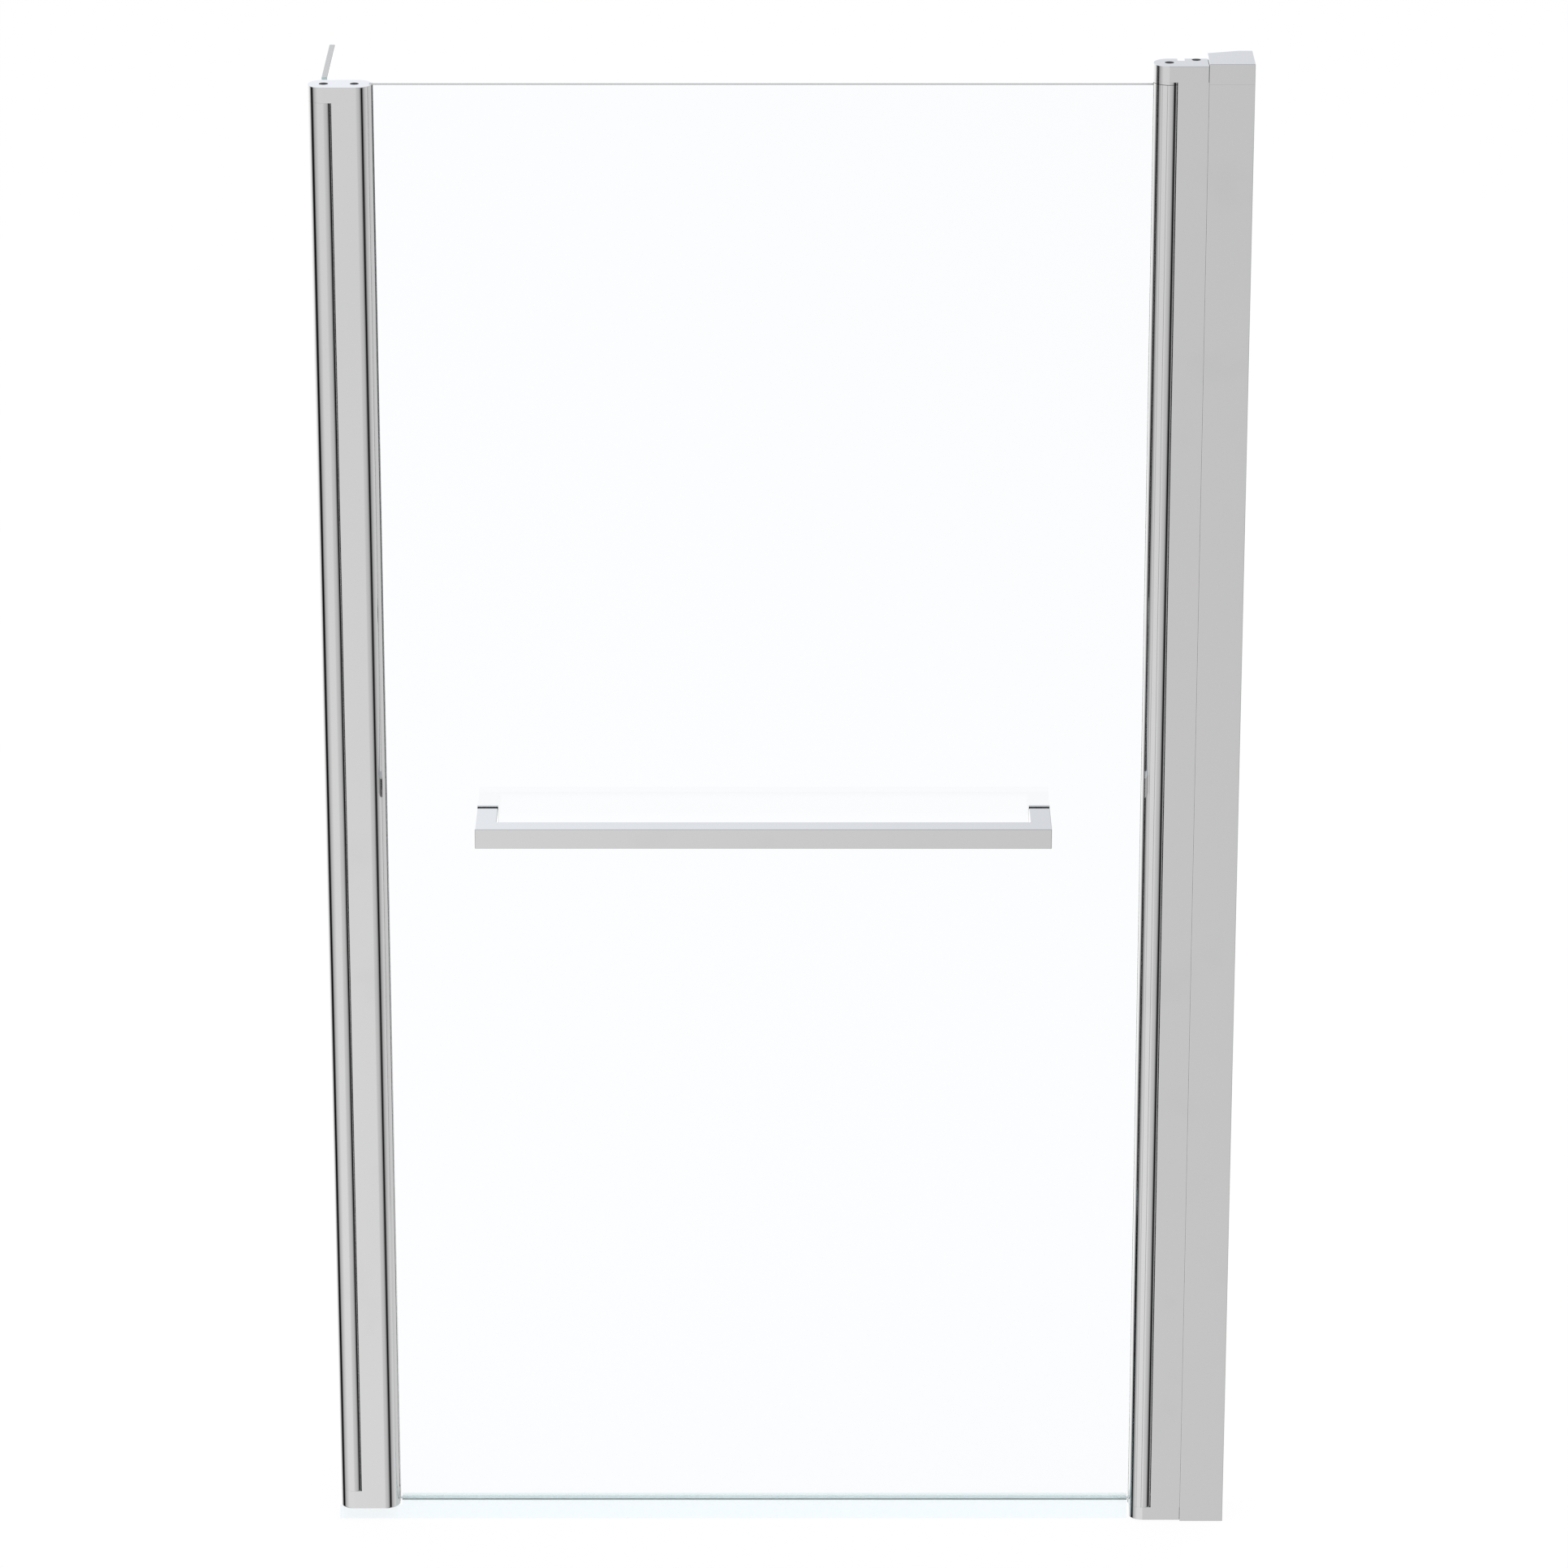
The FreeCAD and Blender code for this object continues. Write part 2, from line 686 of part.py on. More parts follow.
def make_screw(name, centre, head_face, direction, along, sizes):
    """A screw whose head's outer face is at head_face; direction is where its point goes."""
    radius, head_radius, head, reach = sizes

    def reaching(start, length):
        end = start + length * direction
        return (start, end) if direction > 0 else (end, start)

    seat = head_face + head * direction
    screw = fuse(name + "_blank", rod(name + "_head", head_radius, centre, reaching(head_face, head), along),
                 rod(name + "_shank", radius, centre, reaching(seat, reach), along))
    depth = reaching(head_face - CUT_MARGIN * direction, S.screw_recess_depth + CUT_MARGIN)
    half_long = head_radius * RECESS_SHARE
    half_wide = S.screw_recess_width / 2
    bars = []
    for bar, halves in (("long", (half_long, half_wide)), ("cross", (half_wide, half_long))):
        first, second = ((value - half, value + half) for value, half in zip(centre, halves))
        spans = (first, depth, second) if along == "y" else (first, second, depth)
        bars.append(block(f"{name}_{bar}", *spans))
    return cut(name, screw, *bars)


def make_cap_screws(node, port, top, bottom):
    sizes = (S.cap_screw_radius, S.cap_screw_head_radius, S.cap_screw_head, S.cap_screw_reach)
    upper = make_screw(node + "_top", port, top - S.cap_screw_sink, -1, "z", sizes)
    lower = make_screw(node + "_bottom", port, bottom + S.cap_screw_sink, 1, "z", sizes)
    finished(group(node, [upper, lower]), node)


def make_locking_screws():
    sizes = (S.locking_screw_radius, S.locking_screw_head_radius, S.locking_screw_head,
             S.locking_screw_reach)
    face = half_post + S.locking_screw_head
    screws = []
    for number, height in enumerate(locking_heights(), start=1):
        screws.append(make_screw(f"locking_screw{number}", (locking_x, height), face, -1, "y", sizes))
    finished(group("locking_screws", screws), "post_locking_screws")


def make_pins(hinge, pivot, outer_faces, knuckle_span):
    """The pins of one hinge, from inside the caps into the knuckle."""
    bottom_face, top_face = outer_faces
    top_span = (knuckle_span[1] - S.pin_reach, top_face - S.pin_sink)
    bottom_span = (bottom_face + S.pin_sink, knuckle_span[0] + S.pin_reach)
    for end, span in (("top", top_span), ("bottom", bottom_span)):
        node = f"{hinge}_{end}_pin"
        finished(rod(node, S.pin_radius, (pivot, 0), span), node)


def make_bushes(knuckle, pivot, span):
    """Tubes in the ends of a knuckle that turn on the pins and stand out a little to take the wear."""
    top_span = (span[1] + S.bush_stands_out - S.bush_length, span[1] + S.bush_stands_out)
    bottom_span = (span[0] - S.bush_stands_out, span[0] - S.bush_stands_out + S.bush_length)
    for end, (low, high) in (("top", top_span), ("bottom", bottom_span)):
        node = f"{knuckle}_{end}_bush"
        outside = rod(node + "_outside", bush_outside, (pivot, 0), (low, high))
        bore = rod(node + "_bore", S.pin_radius + S.pin_clearance, (pivot, 0),
                   (low - CUT_MARGIN, high + CUT_MARGIN))
        finished(cut(node, outside, bore), node)


# Knuckles, their gaskets and the strips that seal the turning gaps.

def make_knuckle(node, pivot, span, turn, grooves):
    """A round bar with a slot for the glass on -X before it is turned, a bore, and two cavities."""
    through = (span[0] - CUT_MARGIN, span[1] + CUT_MARGIN)
    slot = block(node + "_slot", (-half_post - CUT_MARGIN, -slot_floor), (-slot_half, slot_half), through)
    bore = rod(node + "_bore", knuckle_bore, (0, 0), through)
    tools = [slot, bore]
    for side, start in (("back", S.cavity_start), ("front", -S.cavity_start - S.cavity_sweep)):
        tools.append(sector(f"{node}_{side}_cavity", knuckle_bore + S.knuckle_wall,
                            half_post - S.knuckle_wall, start, S.cavity_sweep, through))
    for number, offset in enumerate(grooves):
        edge = chord(half_post, offset)
        across = (-offset - S.groove_width / 2, -offset + S.groove_width / 2)
        front = (-half_post - CUT_MARGIN, -edge + S.groove_depth)
        back = (edge - S.groove_depth, half_post + CUT_MARGIN)
        tools.append(block(f"{node}_front_groove{number}", across, front, through))
        tools.append(block(f"{node}_back_groove{number}", across, back, through))
    knuckle = cut(node, rod(node + "_bar", half_post, (0, 0), span), *tools)
    place(knuckle, pivot, turn)
    finished(knuckle, node)


def make_knuckle_gasket(node, pivot, span, turn):
    body = new_body(node)
    mouth = S.gasket_inset - half_post
    section = u_channel(mouth, -slot_floor, -glass_edge, slot_half, half_glass)
    add_pad(body, node + "_section", "z", span, [section])
    place(body, pivot, turn)


def make_return_post_gasket():
    body = new_body("return_post_gasket")
    section = u_channel(return_tip_x - S.gasket_inset, return_slot_x, return_slot_x + S.gasket_base,
                        slot_half, half_glass)
    add_pad(body, "return_post_gasket_section", "z", (return_body_bottom, return_body_top), [section])


def make_hinge_seal(node, pivot, span):
    """A strip on the wall of the post's hollow, on the bath side, just clear of the knuckle."""
    strip = sector(node, half_post + S.hinge_seal_clearance, hollow_radius - S.seat_clearance,
                   S.hinge_seal_start, S.hinge_seal_sweep, span)
    place(strip, pivot)
    finished(strip, node)


# Glass and bottom seals.

# The two faces of a pane, whose edges are ground off.
PANE_FACES = [{"y": -half_glass}, {"y": half_glass}]


def make_main_glass():
    """A pane whose left corners are cut back where the return post's caps take only its edge."""
    body = new_body("main_glass")
    right = main_x - glass_edge
    left = return_slot_x + S.gasket_base
    left_in_caps = return_tip_x - S.cap_slot_depth + S.slide_clearance
    low = return_body_bottom + S.slide_clearance
    high = return_body_top - S.slide_clearance
    pane = [
        (right, S.glass_bottom), (right, panel_top), (left_in_caps, panel_top), (left_in_caps, high),
        (left, high), (left, low), (left_in_caps, low), (left_in_caps, S.glass_bottom),
    ]
    sheet_of_glass = add_pad(body, "main_pane", "y", (-half_glass, half_glass), [pane])
    bevel_edges(body, "main_arris", sheet_of_glass, PANE_FACES, S.glass_arris)
    holes = [(leg, S.rail_height, rail_hole) for leg in rail_legs]
    add_pocket(body, "rail_holes", "y", (-half_glass - CUT_MARGIN, half_glass + CUT_MARGIN), circles=holes)


def make_return_glass():
    """A narrow pane along -X before it is turned, cut back above and below its knuckle."""
    body = new_body("return_glass")
    low, high = return_knuckle_span
    top = panel_top + S.return_glass_rise
    pane = [
        (-S.return_length, S.glass_bottom), (-past_cap, S.glass_bottom), (-past_cap, low),
        (-glass_edge, low), (-glass_edge, high), (-past_cap, high), (-past_cap, top),
        (-S.return_length, top),
    ]
    sheet_of_glass = add_pad(body, "return_pane", "y", (-half_glass, half_glass), [pane])
    bevel_edges(body, "return_arris", sheet_of_glass, PANE_FACES, S.glass_arris)
    place(body, return_x, RETURN_TURN)


def make_bottom_seal(node, span, lip_start=None):
    """A channel along the bottom of a pane, with a lip that slants outwards to the rim.

    Where the lip starts beyond the channel, only its lower part goes on, under the return post.
    """
    body = new_body(node)
    outside = half_glass + S.seal_wall
    base = S.glass_bottom - S.seal_wall
    rim = S.glass_bottom + S.seal_grip
    channel = [
        (-outside, rim), (-outside, base), (outside, base), (outside, rim),
        (half_glass, rim), (half_glass, S.glass_bottom), (-half_glass, S.glass_bottom), (-half_glass, rim),
    ]
    add_pad(body, node + "_channel", "x", span, [channel])

    def lip_from(height):
        along = (base - height) / (base - S.lip_above_rim)
        start = -S.lip_root - (S.lip_tip - S.lip_root) * along
        return [
            (start, height), (start + S.lip_thickness, height),
            (S.lip_thickness - S.lip_tip, S.lip_above_rim), (-S.lip_tip, S.lip_above_rim),
        ]

    add_pad(body, node + "_lip", "x", span, [lip_from(base)])
    if lip_start is not None:
        under_post = S.return_post_bottom - S.swing_clearance
        add_pad(body, node + "_lip_under_post", "x", (lip_start, span[1]), [lip_from(under_post)])
    return body


def make_bottom_seals():
    main_span = (return_tip_x + S.seal_gap_at_post, main_x - past_cap)
    make_bottom_seal("bottom_seal", main_span, return_x - half_post)
    narrow = make_bottom_seal("return_bottom_seal", (-S.return_length, -S.return_seal_start))
    place(narrow, return_x, RETURN_TURN)


# Towel rail and its fixings.

def make_towel_rail():
    """A square bar with a leg at each end that stands it off the glass."""
    body = new_body("towel_rail")
    front = -S.rail_reach
    inside = front + S.rail_section
    shape = [
        (rail_left, front), (rail_right, front), (rail_right, rail_back),
        (rail_right - S.rail_section, rail_back), (rail_right - S.rail_section, inside),
        (rail_left + S.rail_section, inside), (rail_left + S.rail_section, rail_back), (rail_left, rail_back),
    ]
    bar = add_pad(body, "rail_bar", "z", (rail_low, rail_high), [shape])
    doc.recompute()
    edges = body.newObject("PartDesign::Fillet", "rail_edges")
    edges.Base = (bar, [""])
    edges.UseAllEdges = True
    bind(edges, "Radius", S.rail_edge)
    depth = S.rail_bolt_reach + CUT_MARGIN
    radius = S.rail_bolt_radius + S.seat_clearance
    add_pocket(body, "rail_threads", "y", (rail_back - depth, rail_back),
               circles=[(leg, S.rail_height, radius) for leg in rail_legs])


def make_rail_fixings():
    """Washers, sleeves, back plates and bolts, one of each at each leg."""
    washers, sleeves, plates, bolts = [], [], [], []
    plate_back = half_glass + S.rail_plate
    half_section = S.rail_section / 2
    for side, leg in zip(("left", "right"), rail_legs):
        centre = (leg, S.rail_height)
        across = (leg - half_section, leg + half_section)
        through = (rail_back - CUT_MARGIN, plate_back + CUT_MARGIN)

        def clearance_hole(name):
            return rod(f"{side}_{name}_hole", sleeve_inside, centre, through, "y")

        pad = block(f"{side}_washer_pad", across, (rail_back, -half_glass), (rail_low, rail_high))
        washers.append(cut(f"{side}_washer", pad, clearance_hole("washer")))
        tube = rod(f"{side}_sleeve_tube", sleeve_outside, centre, (-half_glass, half_glass), "y")
        sleeves.append(cut(f"{side}_sleeve", tube, clearance_hole("sleeve")))
        slab = block(f"{side}_plate_slab", across, (half_glass, plate_back), (rail_low, rail_high))
        head_room = rod(f"{side}_plate_head_room", S.rail_bolt_head_radius + S.slide_clearance, centre,
                        (plate_back - S.rail_bolt_head, plate_back + CUT_MARGIN), "y")
        plates.append(cut(f"{side}_plate", slab, head_room, clearance_hole("plate")))
        grip = plate_back - S.rail_bolt_head - rail_back
        sizes = (S.rail_bolt_radius, S.rail_bolt_head_radius, S.rail_bolt_head, grip + S.rail_bolt_reach)
        bolts.append(make_screw(f"{side}_bolt", centre, plate_back, -1, "y", sizes))
    finished(group("washers", washers), "towel_rail_washers")
    finished(group("sleeves", sleeves), "towel_rail_sleeves")
    finished(group("plates", plates), "towel_rail_back_plates")
    finished(group("bolts", bolts), "towel_rail_bolts")


# The return panel is drawn in line with the main glass, and stands turned into the bath.
RETURN_TURN = -90.0

make_wall_profile()
make_wall_profile_cover()
make_wall_profile_top_cap()
make_hinge_post()
make_hinge_post_caps()
make_locking_screws()
make_cap_screws("hinge_post_cap_screws", post_port, post_top, S.post_bottom_lift)
make_pins("main_hinge", main_x, (S.post_bottom_lift, post_top), main_knuckle_span)
make_hinge_seal("hinge_seal", main_x, (post_body_bottom, post_body_top))

make_main_glass()
make_knuckle("main_knuckle", main_x, main_knuckle_span, 0.0,
             (S.outer_groove_from_pivot, S.inner_groove_from_pivot))
make_knuckle_gasket("main_knuckle_gasket", main_x, (S.glass_bottom, panel_top), 0.0)
make_bushes("main_knuckle", main_x, main_knuckle_span)
make_return_post()
make_return_post_gasket()
make_return_post_caps()
make_cap_screws("return_post_cap_screws", return_port, panel_top, S.return_post_bottom)
make_pins("return_hinge", return_x, (S.return_post_bottom, panel_top), return_knuckle_span)
make_hinge_seal("return_hinge_seal", return_x, (return_body_bottom, return_body_top))
make_towel_rail()
make_rail_fixings()

make_return_glass()
make_knuckle("return_knuckle", return_x, return_knuckle_span, RETURN_TURN, ())
make_knuckle_gasket("return_knuckle_gasket", return_x, return_knuckle_span, RETURN_TURN)
make_bushes("return_knuckle", return_x, return_knuckle_span)
make_bottom_seals()

doc.recompute()

for thing in doc.Objects:
    if "Invalid" in thing.State or "Error" in thing.State:
        raise RuntimeError(f"{thing.Label} did not recompute: {thing.State}")
    if thing.isDerivedFrom("PartDesign::Pocket") and thing.Shape.Volume >= thing.BaseFeature.Shape.Volume:
        raise RuntimeError(f"{thing.Label} cuts nothing")
for piece in pieces:
    if piece.Shape.isNull() or not piece.Shape.isValid() or not piece.Shape.Solids:
        raise RuntimeError(f"{piece.Label} has no valid solid")

os.makedirs("parts", exist_ok=True)
for piece in pieces:
    piece.Shape.exportStep(f"parts/{piece.Label}.step")
    box = piece.Shape.BoundBox
    print(f"{piece.Label}: {len(piece.Shape.Solids)} solid, "
          f"X {box.XMin:.1f} to {box.XMax:.1f}, Y {box.YMin:.1f} to {box.YMax:.1f}, "
          f"Z {box.ZMin:.1f} to {box.ZMax:.1f}")
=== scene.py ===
import json
import math

import bmesh
import bpy
import numpy as np
from bpy.props import FloatProperty, FloatVectorProperty, PointerProperty
from bpy.types import Operator, Panel, PropertyGroup
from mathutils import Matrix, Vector
from mathutils.geometry import delaunay_2d_cdt


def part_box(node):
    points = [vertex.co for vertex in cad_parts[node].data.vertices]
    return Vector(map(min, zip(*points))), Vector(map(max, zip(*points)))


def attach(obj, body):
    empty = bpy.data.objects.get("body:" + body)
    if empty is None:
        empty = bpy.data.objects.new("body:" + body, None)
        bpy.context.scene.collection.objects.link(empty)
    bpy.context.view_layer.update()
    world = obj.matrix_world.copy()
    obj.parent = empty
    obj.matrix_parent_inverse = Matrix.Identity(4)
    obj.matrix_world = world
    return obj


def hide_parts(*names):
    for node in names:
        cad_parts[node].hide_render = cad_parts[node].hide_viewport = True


bl_info = {
    "name": "Bath Screen Looks",
    "version": (1, 0, 0),
    "blender": (4, 5, 0),
    "location": "3D View > Sidebar > Bath Screen",
    "description": "Finishes, seals and studio for a hinged bath screen with a towel rail",
    "category": "Object",
}

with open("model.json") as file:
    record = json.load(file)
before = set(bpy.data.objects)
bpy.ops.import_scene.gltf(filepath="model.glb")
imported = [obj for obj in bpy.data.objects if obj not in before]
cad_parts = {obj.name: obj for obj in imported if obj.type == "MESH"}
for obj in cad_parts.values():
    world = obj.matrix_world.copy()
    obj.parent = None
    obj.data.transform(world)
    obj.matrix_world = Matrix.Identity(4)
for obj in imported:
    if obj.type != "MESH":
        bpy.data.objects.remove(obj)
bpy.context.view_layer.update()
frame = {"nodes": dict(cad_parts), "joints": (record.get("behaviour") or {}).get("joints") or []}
NODES = frame["nodes"]
PIVOTS = {joint["name"]: np.array(joint["pos_m"]) for joint in frame["joints"]}

MM = 0.001

# The screens round the studio, as plated metal shows them. Each pair is a compass angle, from the viewer's
# side towards the wall, and the brightness there. The screens part at the two dark gaps.
SCREENS = (
    (-180, 1.25), (-126, 1.3), (-117, 1.0), (-110, 0.74), (-104, 0.33), (-99.5, 0.01), (-85, 0.004),
    (-82, 0.1), (-78.5, 0.33), (-73, 0.57), (-65, 0.69), (-52.5, 0.85), (-44, 0.955), (-4, 0.955),
    (3.3, 0.83), (20, 0.72), (26, 0.6), (31, 0.4), (36.5, 0.05), (39.5, 0.005), (43.5, 0.005),
    (47.5, 0.1), (56, 0.57), (63, 0.69), (77, 0.87), (84.5, 0.93), (92, 0.83), (101, 0.785),
    (110, 0.86), (140, 0.84), (160, 0.5), (174, 1.2),
)
BRIGHTEST = max(bright for _, bright in SCREENS)

# Noise scales of the finishes, per metre
DRAWING_LINES = 900.0
WATER_MARKS = 14.0
TURNING_MARKS = 1500.0
NYLON_GRAIN = 2500.0
RUBBER_GRAIN = 3000.0
RUBBER_BLOOM = 160.0
GRINDING_MARKS = 2200.0
VINYL_CLOUD = 220.0

# Play between the glass and what holds it
GLASS_PLAY = 0.02 * MM


# Settings that a user would change

def colour(name, description, default):
    return FloatVectorProperty(name=name, description=description, default=default, subtype="COLOR",
                               size=3, min=0.0, max=1.0)


def share(name, description, default):
    return FloatProperty(name=name, description=description, default=default, subtype="FACTOR",
                         min=0.0, max=1.0)


def length(name, description, default):
    return FloatProperty(name=name, description=description, default=default, subtype="DISTANCE",
                         unit="LENGTH", precision=5)


class StageSettings(PropertyGroup):
    """Floor, light and camera."""

    floor_colour: colour("Floor", "Colour of the plain floor", (0.98, 0.98, 0.98))
    floor_glow: share("Floor glow", "Share of the floor that the camera sees as even white", 0.95)
    floor_size: length("Floor size", "Side of the floor", 60.0)
    floor_drop: length("Floor drop", "How far the floor lies under the object", 0.001)
    key_energy: FloatProperty(name="Key light", description="Power of the soft light overhead",
                              default=60.0, unit="POWER")
    key_size: length("Key size", "Side of the soft light overhead", 4.0)
    key_height: length("Key height", "Height of the soft light overhead", 4.5)
    camera_pitch: FloatProperty(name="Pitch", description="How far the camera looks down",
                                default=math.radians(20.0), subtype="ANGLE")
    camera_distance: length("Distance", "From the camera to the point that it looks at", 6.459)
    camera_target: FloatVectorProperty(name="Target", description="The point in the middle of the picture",
                                       default=(-0.4101, 0.0, 0.7291), subtype="TRANSLATION")
    camera_lens: FloatProperty(name="Lens", description="Focal length on a 36 mm sensor", default=164.2,
                               unit="CAMERA")


class MetalSettings(PropertyGroup):
    """Plated profiles and caps, and bare steel."""

    profile_colour: colour("Profiles", "Colour of the plated profiles", (0.64, 0.645, 0.64))
    cap_colour: colour("Caps", "Colour of the plated caps", (0.64, 0.645, 0.64))
    # Painted shade: the cap bores are painted near black, and the cap's faces in the seam at the wall dark
    # grey
    bore_colour: colour("Bores", "Colour of the unplated bores in the caps", (0.02, 0.022, 0.024))
    seam_colour: colour("Seams", "Colour of the unplated faces at a seam", (0.14, 0.14, 0.145))
    steel_colour: colour("Steel", "Colour of screws and pins", (0.5, 0.49, 0.47))
    polish: share("Polish", "Roughness of the plating", 0.045)
    extrusion_wall: length("Wall", "Thickness of the posts' walls", 0.002)
    extrusion_edge: length("Post corners", "Radius of the hinge post's corners at the wall profile", 0.00008)
    post_seam: length("Post seam", "Seam between the hinge post and the wall profile", 0.00002)
    top_cap_seam: length("Top cap seam", "Seam between the hinge post's top cap and the wall profile's cap",
                         0.00012)
    foot_cap_seam: length("Foot cap seam", "Seam between the hinge post's foot cap and the wall profile",
                          0.00002)
    hinge_lip: length("Hinge post lip", "Radius of the beads along the hinge post's hollow", 0.0006)
    hinge_setback: length("Hinge post setback", "How far those beads stand back from its corners", 0.0003)
    return_lip: length("Return post lip", "Thickness of the lips along the return post's hollow", 0.0007)
    return_setback: length("Return post setback", "How far those lips stand back from its corners", 0.0004)
    return_bend: length("Return post bend", "Radius of the rounding on the outside of those lips", 0.0015)
    groove_width: length("Groove width", "Width of the grooves along the main knuckle", 0.0008)
    groove_depth: length("Groove depth", "Depth of the grooves along the main knuckle", 0.00018)
    knuckle_seam: length("Knuckle seam", "Fine seam between a knuckle and a cap", 0.00005)
    cap_collar: length("Cap collar", "Height of the collar under the hinge post's top cap", 0.0023)
    knuckle_gap: length("Knuckle gap", "Gap between the main knuckle and the cap over it", 0.00045)
    cap_rim: length("Cap rim", "Radius of the caps' rims", 0.0005)
    foot_rim: length("Foot rim", "Radius of the rim under the return post", 0.0015)


class ClearSettings(PropertyGroup):
    """Glass and clear strips."""

    glass_colour: colour("Glass", "Tint of the panes", (0.98, 0.988, 0.998))
    # Painted shade and light: the upper edges are painted a darker grey than the upright ends, and the lower
    # edges pale
    edge_colour: colour("Glass edge", "Colour of the upper edges", (0.36, 0.365, 0.365))
    wet_colour: colour("Lower edges", "Colour of the panes' lower edges, in their seals", (0.95, 0.98, 0.98))
    end_colour: colour("Glass end", "Colour of the upright edges", (0.52, 0.64, 0.64))
    vinyl_colour: colour("Clear strip", "Colour of the clear strips", (0.88, 0.95, 0.96))
    lip_colour: colour("Seal lip", "Colour of the bottom seals' lips", (0.5, 0.8, 0.93))
    lip_cover: share("Seal lip cover", "How much the bottom seals' lips hide", 0.09)
    wall_colour: colour("Seal walls", "Colour of the bottom seals' walls", (0.3, 0.56, 0.56))
    wall_cover: share("Seal wall cover", "How much each wall of the bottom seals hides", 0.12)
    # Painted shade: a dark line painted on the bottom seals along the glass's lower edge
    line_colour: colour("Seal line", "Colour of the line along the glass's edge", (0.08, 0.13, 0.13))
    line_cover: share("Seal line cover", "How much the line along the glass's edge hides", 0.92)
    seal_rise: length("Seal rise", "How far the bottom seals' walls rise past their plain solids", 0.0008)
    vinyl_cover: share("Cover", "How much the clear strips hide", 0.08)
    gasket_colour: colour("Post gasket", "Colour of the smoky gasket in the return post", (0.1, 0.105, 0.11))
    gasket_cover: share("Post gasket cover", "How much the gasket in the return post hides", 0.5)
    lip_root: length("Lip root", "Thickness of the wiping lip where it leaves the channel", 0.0012)
    lip_tip: length("Lip tip", "Thickness of the wiping lip at its edge", 0.0006)
    knuckle_reach: length("Knuckle gasket reach", "How far the knuckles' gaskets stand out of their slots",
                          0.0004)
    post_reach: length("Post gasket reach", "How far the return post's gasket stands out of its slot",
                       0.0011)


class SoftSettings(PropertyGroup):
    """Rubber and nylon."""

    rubber_colour: colour("Rubber", "Colour of the rail's washers", (0.08, 0.085, 0.09))
    nylon_colour: colour("Nylon", "Colour of bushes and sleeves", (0.78, 0.78, 0.76))
    washer_bulge: length("Washer bulge", "How far the washers are squeezed out at half their depth", 0.0002)


# Shader nodes

class Wire:
    """An output socket of a node tree. Arithmetic adds Math nodes, and node() adds any other node."""

    def __init__(self, tree, socket=None):
        self.tree = tree
        self.socket = socket

    def node(self, kind, settings=(), sockets=(), output=0):
        """Adds a node: first its settings, a ramp's stops among them, then its sockets' values or links."""
        made = self.tree.nodes.new(kind)
        for name, value in dict(settings).items():
            if name == "stops":
                elements = made.color_ramp.elements
                while len(elements) < len(value):
                    elements.new(1.0)
                for element, (place, shade) in zip(elements, value):
                    element.position = place
                    element.color = (*shade, 1.0)
            else:
                setattr(made, name, value)
        for name, value in dict(sockets).items():
            if isinstance(value, Wire):
                self.tree.links.new(value.socket, made.inputs[name])
            else:
                made.inputs[name].default_value = value
        return Wire(self.tree, made.outputs[output] if made.outputs else None)

    def math(self, operation, *values):
        return self.node("ShaderNodeMath", {"operation": operation}, dict(enumerate(values)))

    def __add__(self, other):
        return self.math("ADD", self, other)

    def __radd__(self, other):
        return self.math("ADD", other, self)

    def __sub__(self, other):
        return self.math("SUBTRACT", self, other)

    def __rsub__(self, other):
        return self.math("SUBTRACT", other, self)

    def __mul__(self, other):
        return self.math("MULTIPLY", self, other)

    def __rmul__(self, other):
        return self.math("MULTIPLY", other, self)

    def __truediv__(self, other):
        return self.math("DIVIDE", self, other)

    def __pow__(self, other):
        return self.math("POWER", self, other)

    def __neg__(self):
        return 0.0 - self

    def __abs__(self):
        return self.math("ABSOLUTE", self)

    def most(self, other):
        return self.math("MAXIMUM", self, other)

    def least(self, other):
        return self.math("MINIMUM", self, other)

    def rise(self, low, high):
        """0 below low, 1 above high, and a smooth step between them."""
        return self.node("ShaderNodeMapRange", {"interpolation_type": "SMOOTHSTEP"},
                         {"Value": self, "From Min": low, "From Max": high})

    def axes(self):
        """The three numbers of a vector."""
        return [self.node("ShaderNodeSeparateXYZ", (), {0: self}, axis) for axis in "XYZ"]


def mixed(factor, first, second):
    """A colour between two others."""
    return factor.node("ShaderNodeMix", {"data_type": "RGBA"}, {0: factor, 6: first, 7: second}, 2)


def opaque(shade):
    """A colour setting as a socket's four numbers."""
    return (*shade, 1.0)


def shaded(shade, part):
    """A colour setting made darker or lighter, as a socket's four numbers."""
    return opaque([part * value for value in shade])


def new_material(name):
    """An empty node material and the wire that its first node starts from."""
    material = bpy.data.materials.new(name)
    material.use_nodes = True
    material.node_tree.nodes.clear()
    return material, Wire(material.node_tree)


def surface(wire, shader):
    wire.node("ShaderNodeOutputMaterial", (), {"Surface": shader})


def principled(wire, sockets):
    return wire.node("ShaderNodeBsdfPrincipled", (), sockets)


def own_place(wire):
    """Object coordinates, which are the whole part's at rest."""
    return wire.node("ShaderNodeTexCoord", (), (), "Object")


def face_direction(wire):
    """The three parts of the direction that a surface faces."""
    return wire.node("ShaderNodeTexCoord", (), (), "Normal").axes()


def noise(wire, scale, stretch=(1.0, 1.0, 1.0)):
    """Noise whose pattern is drawn out along the axes with a small stretch."""
    place = wire.node("ShaderNodeMapping", (), {"Vector": own_place(wire), "Scale": stretch})
    return wire.node("ShaderNodeTexNoise", (), {"Vector": place, "Scale": scale, "Detail": 3.0})


# Finishes

